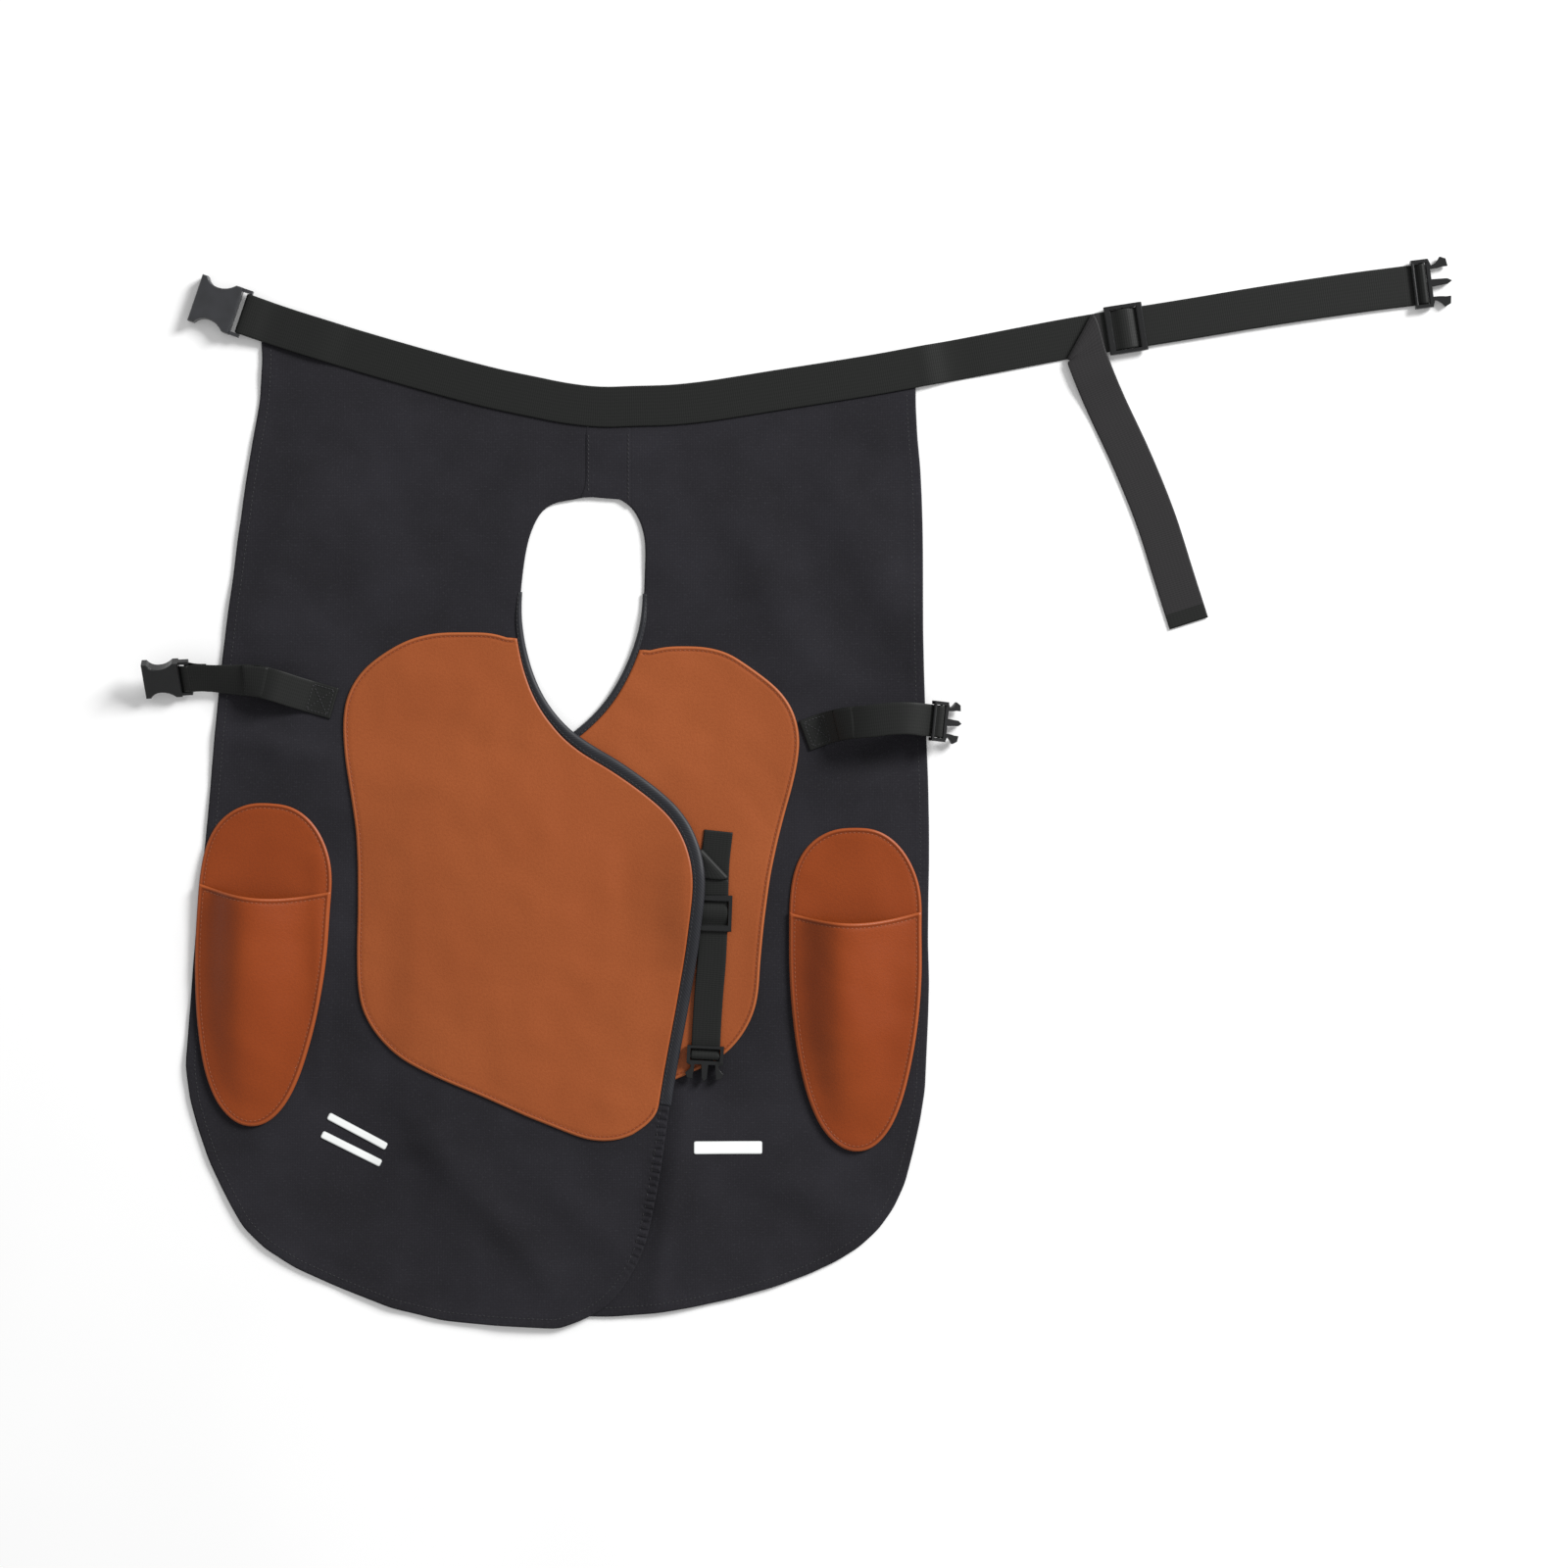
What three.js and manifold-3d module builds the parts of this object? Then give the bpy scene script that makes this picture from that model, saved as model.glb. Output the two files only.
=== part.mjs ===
// Farrier apron, laid flat: two canvas leg panels hang from a webbing belt and
// overlap below the crotch gap. Leather patches and tool pockets are sewn on
// them, and straps with side-release buckles go round the waist and the thighs.
// Millimetres, +Z up, the turned hems and the binding on z = 0.

import * as THREE from 'three';
import { mergeVertices } from 'three/addons/utils/BufferGeometryUtils.js';
import Module from 'manifold-3d';

const wasm = await Module();
wasm.setup();

// Materials of the layers, and the gap that touching layers keep
const CANVAS = 1.2;
const LEATHER = 1.8;
const TAPE = 1.0;
const WEB = 1.5;
const STRIP = 1.2;
const GAP = 0.3;

// Leg panels: from the belt line at the centre seam to the hem and to the side
const PANEL_DROP = 866;
const PANEL_REACH = 377;
const SEAM_GAP = 0.4;
const SEAM_TO = 0.1;

// Turned hem, which starts this share of PANEL_DROP below the belt line
const HEM_WIDTH = 12;
const HEM_FROM = 0.02;

// Binding tape on the inner edges, and the stretch of PANEL_DROP that it covers
const BINDING_WIDTH = 10;
const BINDING_FROM = 0.186;
const BINDING_TO = 0.762;

// Where the left panel climbs over the right one. Past the right patch, between
// two shares of PANEL_DROP, it has only canvas to climb over
const CLIMB_LENGTH = 52;
const CLIMB_MARGIN = 29;
const CLIMB_FROM = 0.3;
const CLIMB_THIN_FROM = 0.83;
const CLIMB_THIN_TO = 0.9;

// The rise of the left panel's edge over the inner slider
const BUMP_HEIGHT = 12;
const BUMP_ACROSS = 70;
const BUMP_DOWN = 105;
const BUMP_AT = 0.53;

// Spacing of the facets where the left panel climbs and rises
const FACET = 29;

// Tool pockets
const POCKET_WIDTH = 124;
const POCKET_LENGTH = 304;
const POCKET_CREST = 19;
const POCKET_RIM = 7;
const POCKET_MOUTH_SAG = 10;

// Waist belt
const WAIST_WEBBING = 38;
const WAIST_RISE = 86;
const SOCKET_STANDOFF = 14;
const BELT_FREE = 476;
const BELT_CLIMB = 78;
const BELT_LEAF = 75;
const SLIDER_FROM_PANEL = 200;
const FOLD_BEFORE_SLIDER = 44;
const TAIL_LENGTH = 288;

// Thigh straps
const LEG_WEBBING = 30;
const LEG_LEFT_SPAN = 136;
const LEG_RIGHT_SPAN = 113;
const LEG_LEFT_ARCH = 16;
const LEG_RIGHT_ARCH = 29;
const LEG_LEAF = 26;
const LEG_SOCKET_ROLL = 36;

// Strap of the left panel's inner edge
const INNER_WEBBING = 27;
const INNER_ANCHOR = 54;
const INNER_TAIL = 30;
const INNER_SLIDER_AT = 47;
const INNER_SPAN = 181;

// White strips
const STRIP_LENGTH = 62;
const STRIP_WIDTH = 7;
const STRIP_RIGHT_LENGTH = 64;
const STRIP_RIGHT_WIDTH = 12;

// Buckle hardware
const BAR_RADIUS = 1.6;
const SIDE_RAIL = 3.2;
const SIDE_CLEAR = 0.5;
const SOCKET_THICK = 11.5;
const SOCKET_WALL = 2.2;
const SOCKET_WAIST_LENGTH = 40;
const SOCKET_LEG_LENGTH = 34;
const SOCKET_SLOT = 4.6;
const SLIDER_WAIST_LENGTH = 36;
const SLIDER_INNER_LENGTH = 34;
const SLIDER_BAR = 3;
const SLIDER_CROSS_BAR = 1.2;
const SLIDER_SIDE_BAR = 6;
const PLUG_THICK = 4;
const PLUG_WAIST_REACH = 27;
const PLUG_LEG_REACH = 24;
const PLUG_REAR_BAR = 8.5;

// Worked out from the sizes above
const PITCH = WEB + GAP;
const WRAP = BAR_RADIUS + GAP + WEB / 2;
const BACK = TAPE + GAP;
const OVER_CANVAS = CANVAS + GAP;
const ON_CANVAS = BACK + OVER_CANVAS;
const CLIMB_OVER_CANVAS = BACK + OVER_CANVAS;
const CLIMB_OVER_PATCH = CLIMB_OVER_CANVAS + LEATHER + GAP;
const CORNER_SHARE = 0.816;
const WAIST_LEFT = PANEL_REACH * CORNER_SHARE + SOCKET_STANDOFF;
const WAIST_RIGHT = PANEL_REACH * CORNER_SHARE;

// Panel edges, a row from the side to the inner edge: shares of PANEL_DROP down
// and of PANEL_REACH across, the inner ones positive on the panel's own side
const LEFT_PANEL = [
  { outerDown: -0.03, outer: 0.81, innerDown: 0.037, inner: 0 },
  { outerDown: 0.037, outer: 0.834, innerDown: 0.074, inner: 0 },
  { outerDown: 0.09, outer: 0.854, innerDown: 0.096, inner: 0 },
  { outerDown: 0.122, outer: 0.863, innerDown: 0.107, inner: 0.098 },
  { outerDown: 0.143, outer: 0.871, innerDown: 0.133, inner: 0.139 },
  { outerDown: 0.186, outer: 0.883, innerDown: 0.186, inner: 0.163 },
  { outerDown: 0.239, outer: 0.9, innerDown: 0.239, inner: 0.166 },
  { outerDown: 0.303, outer: 0.917, innerDown: 0.303, inner: 0.127 },
  { outerDown: 0.35, outer: 0.927, innerDown: 0.35, inner: 0.049 },
  { outerDown: 0.398, outer: 0.937, innerDown: 0.395, inner: -0.11 },
  { outerDown: 0.446, outer: 0.946, innerDown: 0.444, inner: -0.239 },
  { outerDown: 0.499, outer: 0.959, innerDown: 0.499, inner: -0.288 },
  { outerDown: 0.568, outer: 0.976, innerDown: 0.568, inner: -0.278 },
  { outerDown: 0.642, outer: 0.988, innerDown: 0.642, inner: -0.251 },
  { outerDown: 0.722, outer: 1, innerDown: 0.722, inner: -0.217 },
  { outerDown: 0.77, outer: 0.978, innerDown: 0.775, inner: -0.198 },
  { outerDown: 0.821, outer: 0.939, innerDown: 0.823, inner: -0.183 },
  { outerDown: 0.857, outer: 0.898, innerDown: 0.87, inner: -0.163 },
  { outerDown: 0.891, outer: 0.854, innerDown: 0.91, inner: -0.141 },
  { outerDown: 0.923, outer: 0.768, innerDown: 0.939, inner: -0.11 },
  { outerDown: 0.954, outer: 0.622, innerDown: 0.968, inner: -0.061 },
  { outerDown: 0.986, outer: 0.415, innerDown: 0.985, inner: -0.007 },
  { outerDown: 0.995, outer: 0.244, innerDown: 0.999, inner: 0.073 },
];
const RIGHT_PANEL = [
  { outerDown: 0.016, outer: 0.817, innerDown: 0.037, inner: 0 },
  { outerDown: 0.064, outer: 0.827, innerDown: 0.074, inner: 0 },
  { outerDown: 0.111, outer: 0.832, innerDown: 0.096, inner: 0 },
  { outerDown: 0.154, outer: 0.834, innerDown: 0.103, inner: 0.093 },
  { outerDown: 0.196, outer: 0.834, innerDown: 0.133, inner: 0.137 },
  { outerDown: 0.239, outer: 0.834, innerDown: 0.186, inner: 0.141 },
  { outerDown: 0.292, outer: 0.837, innerDown: 0.244, inner: 0.129 },
  { outerDown: 0.345, outer: 0.841, innerDown: 0.31, inner: 0.063 },
  { outerDown: 0.398, outer: 0.846, innerDown: 0.351, inner: -0.024 },
  { outerDown: 0.451, outer: 0.849, innerDown: 0.395, inner: -0.183 },
  { outerDown: 0.504, outer: 0.849, innerDown: 0.444, inner: -0.312 },
  { outerDown: 0.568, outer: 0.846, innerDown: 0.499, inner: -0.361 },
  { outerDown: 0.632, outer: 0.849, innerDown: 0.568, inner: -0.351 },
  { outerDown: 0.685, outer: 0.844, innerDown: 0.642, inner: -0.324 },
  { outerDown: 0.748, outer: 0.837, innerDown: 0.722, inner: -0.29 },
  { outerDown: 0.796, outer: 0.815, innerDown: 0.775, inner: -0.271 },
  { outerDown: 0.846, outer: 0.785, innerDown: 0.823, inner: -0.256 },
  { outerDown: 0.883, outer: 0.739, innerDown: 0.87, inner: -0.237 },
  { outerDown: 0.912, outer: 0.671, innerDown: 0.906, inner: -0.215 },
  { outerDown: 0.933, outer: 0.585, innerDown: 0.937, inner: -0.18 },
  { outerDown: 0.954, outer: 0.463, innerDown: 0.966, inner: -0.122 },
  { outerDown: 0.972, outer: 0.305, innerDown: 0.984, inner: -0.037 },
  { outerDown: 0.982, outer: 0.176, innerDown: 0.986, inner: 0.061 },
];

// Thigh patches: shares of PANEL_DROP down and of PANEL_REACH across. A row
// with no inner share ends at the binding of its panel's inner edge
const LEFT_PATCH = [
  { down: 0.245, outer: 0.366, inner: 0.244 },
  { down: 0.25, outer: 0.427, inner: 0.2 },
  { down: 0.259, outer: 0.475 },
  { down: 0.281, outer: 0.549 },
  { down: 0.303, outer: 0.588 },
  { down: 0.33, outer: 0.608 },
  { down: 0.387, outer: 0.602 },
  { down: 0.451, outer: 0.578 },
  { down: 0.515, outer: 0.571 },
  { down: 0.6, outer: 0.574 },
  { down: 0.642, outer: 0.568 },
  { down: 0.663, outer: 0.551 },
  { down: 0.685, outer: 0.517 },
  { down: 0.706, outer: 0.466 },
  { down: 0.727, outer: 0.371 },
  { down: 0.748, outer: 0.254 },
  { down: 0.768, outer: 0.154, inner: -0.172 },
  { down: 0.78, outer: 0.083, inner: -0.146 },
  { down: 0.789, outer: 0.034, inner: -0.11 },
  { down: 0.795, outer: -0.012, inner: -0.068 },
];
const RIGHT_PATCH = [
  { down: 0.26, outer: 0.28, inner: 0.195 },
  { down: 0.266, outer: 0.345, inner: 0.14 },
  { down: 0.281, outer: 0.398 },
  { down: 0.303, outer: 0.466 },
  { down: 0.324, outer: 0.505 },
  { down: 0.345, outer: 0.522 },
  { down: 0.368, outer: 0.527 },
  { down: 0.409, outer: 0.51 },
  { down: 0.451, outer: 0.483 },
  { down: 0.515, outer: 0.451 },
  { down: 0.6, outer: 0.429 },
  { down: 0.642, outer: 0.422 },
  { down: 0.663, outer: 0.407 },
  { down: 0.685, outer: 0.378 },
  { down: 0.706, outer: 0.329 },
  { down: 0.727, outer: 0.229 },
  { down: 0.748, outer: 0.112 },
  { down: 0.766, outer: 0.02, inner: -0.255 },
  { down: 0.78, outer: -0.059, inner: -0.235 },
  { down: 0.789, outer: -0.107, inner: -0.205 },
];

// Pocket outline: shares of POCKET_LENGTH down its middle and of POCKET_WIDTH
// to each side
const POCKET = [
  { down: 0, left: 0.12, right: 0.12 },
  { down: 0.02, left: 0.25, right: 0.24 },
  { down: 0.06, left: 0.37, right: 0.35 },
  { down: 0.12, left: 0.45, right: 0.44 },
  { down: 0.2, left: 0.49, right: 0.5 },
  { down: 0.32, left: 0.5, right: 0.5 },
  { down: 0.45, left: 0.5, right: 0.5 },
  { down: 0.6, left: 0.475, right: 0.47 },
  { down: 0.74, left: 0.425, right: 0.41 },
  { down: 0.86, left: 0.345, right: 0.33 },
  { down: 0.94, left: 0.245, right: 0.235 },
  { down: 0.985, left: 0.13, right: 0.13 },
  { down: 1, left: 0.06, right: 0.06 },
];
const POCKET_MOUTH_SHARE = 0.26;

// Where each pocket's top lies, as shares of PANEL_REACH and PANEL_DROP, and
// how it leans, in degrees
const POCKETS = {
  left: { across: -0.79, down: 0.43, lean: -3.6 },
  right: { across: 0.663, down: 0.4565, lean: 0.5 },
};

// Belt line: shares of the waist to each side and of WAIST_RISE, and past the
// panel's corner shares of BELT_FREE and BELT_CLIMB
const WAIST_LINE = [
  { across: -1, rise: 1 },
  { across: -0.86, rise: 0.823 },
  { across: -0.573, rise: 0.498 },
  { across: -0.287, rise: 0.206 },
  { across: -0.143, rise: 0.092 },
  { across: 0, rise: 0 },
  { across: 0.15, rise: 0.002 },
  { across: 0.3, rise: 0.027 },
  { across: 0.6, rise: 0.187 },
  { across: 0.896, rise: 0.357 },
  { across: 1, rise: 0.426 },
];
const BELT_LINE = [
  { along: 0.126, climb: 0.144 },
  { along: 0.319, climb: 0.368 },
  { along: 0.513, climb: 0.557 },
  { along: 0.706, climb: 0.752 },
  { along: 0.899, climb: 0.924 },
  { along: 1, climb: 1 },
];
const TAIL_LINE = [
  { along: 0.12, sway: -0.006 },
  { along: 0.226, sway: -0.005 },
  { along: 0.4375, sway: 0.003 },
  { along: 0.644, sway: 0 },
  { along: 0.844, sway: -0.018 },
  { along: 1, sway: -0.032 },
];

// Thigh straps, from the sewn end: drift is a share of the span to the left of
// the way it runs, lift a share of its arch above the canvas, roll in degrees
const LEG_LEFT = {
  across: -0.63,
  down: 0.322,
  heading: 170.3,
  rows: [
    { along: 0, drift: 0, lift: 0, roll: 0 },
    { along: 0.16, drift: -0.018, lift: 0, roll: 0 },
    { along: 0.29, drift: -0.035, lift: 0.52, roll: 0 },
    { along: 0.41, drift: -0.053, lift: 0.98, roll: 0 },
    { along: 0.54, drift: -0.063, lift: 0.9, roll: 8 },
    { along: 0.7, drift: -0.044, lift: 0.64, roll: 24 },
    { along: 0.83, drift: -0.03, lift: 0.72, roll: 34 },
    { along: 0.93, drift: -0.016, lift: 0.82, roll: LEG_SOCKET_ROLL },
    { along: 1, drift: 0, lift: 0.84, roll: LEG_SOCKET_ROLL },
  ],
};
const LEG_RIGHT = {
  across: 0.539,
  down: 0.357,
  heading: 7.5,
  rows: [
    { along: 0, drift: 0, lift: 0, roll: 0 },
    { along: 0.14, drift: 0.032, lift: 0, roll: 0 },
    { along: 0.22, drift: 0.045, lift: 0.2, roll: 0 },
    { along: 0.37, drift: 0.055, lift: 0.68, roll: 0 },
    { along: 0.53, drift: 0.048, lift: 0.93, roll: 0 },
    { along: 0.73, drift: 0.043, lift: 1, roll: 0 },
    { along: 0.86, drift: 0.03, lift: 0.97, roll: 0 },
    { along: 0.94, drift: 0.014, lift: 0.87, roll: 0 },
    { along: 1, drift: 0, lift: 0.713, roll: 0 },
  ],
};

// Inner strap: where its fold lies, and its line from the fold to the plug
const INNER = {
  across: 0.317,
  down: 0.4945,
  rows: [
    { along: -0.17, drift: 0.018 },
    { along: 0, drift: 0 },
    { along: 0.26, drift: -0.008 },
    { along: 0.5, drift: -0.018 },
    { along: 0.75, drift: -0.038 },
    { along: 1, drift: -0.051 },
  ],
};

// White strips: the middle of each, as shares of PANEL_REACH and PANEL_DROP
const STRIPS = [
  { name: 'marker_strip_left_upper', across: -0.573, down: 0.785, turn: -28, length: STRIP_LENGTH,
    width: STRIP_WIDTH },
  { name: 'marker_strip_left_lower', across: -0.588, down: 0.804, turn: -26.5, length: STRIP_LENGTH,
    width: STRIP_WIDTH },
  { name: 'marker_strip_right', across: 0.349, down: 0.8025, turn: 0, length: STRIP_RIGHT_LENGTH,
    width: STRIP_RIGHT_WIDTH },
];

const COLOURS = {
  canvas: new THREE.MeshStandardMaterial({ color: 0x2d2d31, roughness: 0.95, metalness: 0 }),
  tape: new THREE.MeshStandardMaterial({ color: 0x3a3b3f, roughness: 0.85, metalness: 0 }),
  leather: new THREE.MeshStandardMaterial({ color: 0xa35a34, roughness: 0.6, metalness: 0 }),
  pocket: new THREE.MeshStandardMaterial({ color: 0x994b26, roughness: 0.55, metalness: 0 }),
  webbing: new THREE.MeshStandardMaterial({ color: 0x2a2a2a, roughness: 0.8, metalness: 0 }),
  plastic: new THREE.MeshStandardMaterial({ color: 0x1b1c1e, roughness: 0.35, metalness: 0 }),
  strip: new THREE.MeshStandardMaterial({ color: 0xf6f8f7, roughness: 0.8, metalness: 0 }),
};

const apron = new THREE.Group();

// Adds a named mesh with its own material to a group
function addMesh(name, geometry, finish, group = apron) {
  const mesh = new THREE.Mesh(geometry, COLOURS[finish].clone());
  mesh.name = name;
  group.add(mesh);
  return mesh;
}

// 0 before from, 1 after to, with a soft start and end
function ease(value, from, to) {
  const share = THREE.MathUtils.clamp((value - from) / (to - from), 0, 1);
  return share * share * (3 - 2 * share);
}

function vector(x, y, z = 0) {
  return new THREE.Vector3(x, y, z);
}

// A geometry from points and triangles, turned so that its faces point out
function closedGeometry(points, triangles) {
  let volume = 0;
  for (const [a, b, c] of triangles) {
    volume += points[a].dot(points[b].clone().cross(points[c]));
  }
  const faces = volume > 0 ? triangles : triangles.map(([a, b, c]) => [a, c, b]);
  const geometry = new THREE.BufferGeometry();
  geometry.setAttribute('position', new THREE.Float32BufferAttribute(points.flatMap((p) => p.toArray()), 3));
  geometry.setIndex(faces.flat());
  return geometry;
}

// A wall between two grids of points with the same rows and columns
function wallBetween(top, bottom) {
  const rows = top.length;
  const columns = top[0].length;
  const points = [...top.flat(), ...bottom.flat()];
  const under = rows * columns;
  const at = (row, column) => row * columns + column;
  const triangles = [];
  for (let row = 0; row < rows - 1; row += 1) {
    for (let column = 0; column < columns - 1; column += 1) {
      const [a, b, c, d] = [
        at(row, column), at(row, column + 1), at(row + 1, column + 1), at(row + 1, column),
      ];
      triangles.push([a, b, c], [a, c, d]);
      triangles.push([a + under, c + under, b + under], [a + under, d + under, c + under]);
    }
  }
  const rim = [];
  for (let column = 0; column < columns - 1; column += 1) rim.push(at(0, column));
  for (let row = 0; row < rows - 1; row += 1) rim.push(at(row, columns - 1));
  for (let column = columns - 1; column > 0; column -= 1) rim.push(at(rows - 1, column));
  for (let row = rows - 1; row > 0; row -= 1) rim.push(at(row, 0));
  rim.forEach((corner, place) => {
    const next = rim[(place + 1) % rim.length];
    triangles.push([corner, corner + under, next + under], [corner, next + under, next]);
  });
  return closedGeometry(points, triangles);
}

// A smooth line in plan that can be read at a distance, straight past its ends
function planLine(points) {
  const curve = new THREE.CatmullRomCurve3(points);
  const length = curve.getLength();
  const at = (distance) => {
    const share = THREE.MathUtils.clamp(distance / length, 0, 1);
    const tangent = curve.getTangentAt(share);
    const point = curve.getPointAt(share).addScaledVector(tangent, distance - share * length);
    return { point, tangent, side: vector(-tangent.y, tangent.x) };
  };
  return { length, at };
}

// Where a line's x reaches a value, as a distance along it
function distanceAtX(line, x) {
  let low = 0;
  let high = line.length;
  for (let step = 0; step < 40; step += 1) {
    const middle = (low + high) / 2;
    if (line.at(middle).point.x < x) low = middle;
    else high = middle;
  }
  return low;
}

// One crossing of a strap: its middle, at a height, and half its width
function rungOn(line, distance, height, width) {
  const { point, side } = line.at(distance);
  return { centre: vector(point.x, point.y, height), half: side.clone().multiplyScalar(width / 2) };
}

// A strap through its rungs, with the webbing's thickness
function strap(rungs, thickness = WEB) {
  const top = [];
  const bottom = [];
  rungs.forEach((rung, place) => {
    const before = rungs[Math.max(place - 1, 0)].centre;
    const after = rungs[Math.min(place + 1, rungs.length - 1)].centre;
    const normal = after.clone().sub(before).cross(rung.half).normalize().multiplyScalar(thickness / 2);
    const edges = [rung.centre.clone().sub(rung.half), rung.centre.clone().add(rung.half)];
    top.push(edges.map((edge) => edge.clone().add(normal)));
    bottom.push(edges.map((edge) => edge.clone().sub(normal)));
  });
  return wallBetween(top, bottom);
}

// Manifold solids from three.js geometry, and back
function toSolid(geometry) {
  const bare = geometry.index ? geometry.toNonIndexed() : geometry.clone();
  bare.deleteAttribute('normal');
  bare.deleteAttribute('uv');
  const merged = mergeVertices(bare, 1e-4);
  return new wasm.Manifold(new wasm.Mesh({
    numProp: 3,
    vertProperties: new Float32Array(merged.attributes.position.array),
    triVerts: new Uint32Array(merged.index.array),
  }));
}

function toGeometry(solid) {
  const mesh = solid.getMesh();
  const geometry = new THREE.BufferGeometry();
  geometry.setAttribute('position', new THREE.BufferAttribute(new Float32Array(mesh.vertProperties), 3));
  geometry.setIndex(new THREE.BufferAttribute(new Uint32Array(mesh.triVerts), 1));
  return geometry;
}

function box(from, to) {
  const size = to.clone().sub(from);
  const geometry = new THREE.BoxGeometry(size.x, size.y, size.z);
  geometry.translate((from.x + to.x) / 2, (from.y + to.y) / 2, (from.z + to.z) / 2);
  return toSolid(geometry);
}

function crossBar(radius, length, x, z) {
  const geometry = new THREE.CylinderGeometry(radius, radius, length, 12);
  geometry.translate(x, 0, 0);
  geometry.applyMatrix4(new THREE.Matrix4().makeTranslation(0, 0, z));
  return toSolid(geometry);
}

// A flat plate from an outline, its edges eased by a bevel
function plate(shape, from, thickness, bevel) {
  const geometry = new THREE.ExtrudeGeometry(shape, {
    depth: thickness - 2 * bevel,
    bevelEnabled: bevel > 0,
    bevelThickness: bevel,
    bevelSize: bevel,
    bevelOffset: -bevel,
    bevelSegments: 1,
    curveSegments: 4,
  });
  geometry.translate(0, 0, from + bevel);
  return toSolid(geometry);
}

// Side-release socket: X runs from its bar to its mouth, z = 0 is its back
function socketGeometry(webbing, length) {
  const half = webbing / 2 + SIDE_CLEAR + SIDE_RAIL;
  const rear = WRAP + WEB / 2 + SOCKET_SLOT;
  const mouth = rear + length;
  const neck = half * 0.68;
  const outline = new THREE.Shape();
  outline.moveTo(rear, -half);
  outline.lineTo(rear + length * 0.16, -half);
  outline.quadraticCurveTo(rear + length * 0.34, -neck, rear + length * 0.56, -neck);
  outline.quadraticCurveTo(rear + length * 0.76, -neck, rear + length * 0.86, -half);
  outline.lineTo(mouth, -half);
  outline.lineTo(mouth, half);
  outline.lineTo(rear + length * 0.86, half);
  outline.quadraticCurveTo(rear + length * 0.76, neck, rear + length * 0.56, neck);
  outline.quadraticCurveTo(rear + length * 0.34, neck, rear + length * 0.16, half);
  outline.lineTo(rear, half);
  outline.closePath();
  const hollow = neck - SOCKET_WALL;
  const middle = SOCKET_THICK / 2;
  let solid = plate(outline, 0, SOCKET_THICK, 1);
  for (const side of [-1, 1]) {
    const inside = side * (webbing / 2 + SIDE_CLEAR);
    const outside = side * half;
    solid = solid.add(box(
      vector(-BAR_RADIUS, Math.min(inside, outside), middle - 2.5),
      vector(rear + 2, Math.max(inside, outside), middle + 2.5),
    ));
  }
  solid = solid.add(crossBar(BAR_RADIUS, 2 * half - 1, 0, middle));
  solid = solid.subtract(box(
    vector(rear + length * 0.3, -hollow, SOCKET_WALL),
    vector(mouth + 5, hollow, SOCKET_THICK - SOCKET_WALL),
  ));
  return toGeometry(solid);
}

// Side-release plug: X runs from its bar to its tip. The strap lies at z = 0
// under the rear bar, and goes round the main bar
function plugGeometry(webbing, reach) {
  const half = webbing / 2 + SIDE_CLEAR + SIDE_RAIL;
  const barHeight = WEB / 2 + WRAP;
  const rearHeight = 2 * PITCH + BAR_RADIUS + GAP;
  const base = barHeight - PLUG_THICK / 2;
  const start = WRAP + WEB / 2 + GAP;
  const shoulder = start + 3;
  const arm = half * 0.62;
  const outline = new THREE.Shape();
  outline.moveTo(start, -half);
  outline.lineTo(shoulder, -half);
  outline.lineTo(shoulder + 2, -arm - 2.5);
  outline.quadraticCurveTo(reach * 0.5, -half * 0.75, reach * 0.66, -half - 1);
  outline.lineTo(reach * 0.86, -half + 1.5);
  outline.lineTo(reach * 0.9, -half * 0.62);
  outline.lineTo(reach * 0.7, -half * 0.62);
  outline.quadraticCurveTo(reach * 0.55, -arm + 1, shoulder + 1, -arm + 1);
  outline.lineTo(shoulder + 1, -3.4);
  outline.lineTo(reach * 0.84, -2.6);
  outline.lineTo(reach, 0);
  outline.lineTo(reach * 0.84, 2.6);
  outline.lineTo(shoulder + 1, 3.4);
  outline.lineTo(shoulder + 1, arm - 1);
  outline.quadraticCurveTo(reach * 0.55, arm - 1, reach * 0.7, half * 0.62);
  outline.lineTo(reach * 0.9, half * 0.62);
  outline.lineTo(reach * 0.86, half - 1.5);
  outline.lineTo(reach * 0.66, half + 1);
  outline.quadraticCurveTo(reach * 0.5, half * 0.75, shoulder + 2, arm + 2.5);
  outline.lineTo(shoulder, half);
  outline.lineTo(start, half);
  outline.closePath();
  let solid = plate(outline, base, PLUG_THICK, 0.5);
  for (const side of [-1, 1]) {
    const inside = side * (webbing / 2 + SIDE_CLEAR);
    const outside = side * half;
    solid = solid.add(box(
      vector(-PLUG_REAR_BAR - BAR_RADIUS, Math.min(inside, outside), base),
      vector(start + 2, Math.max(inside, outside), rearHeight + BAR_RADIUS),
    ));
  }
  solid = solid.add(crossBar(BAR_RADIUS, 2 * half - 1, 0, barHeight));
  solid = solid.add(crossBar(BAR_RADIUS, 2 * half - 1, -PLUG_REAR_BAR, rearHeight));
  return toGeometry(solid);
}

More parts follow.
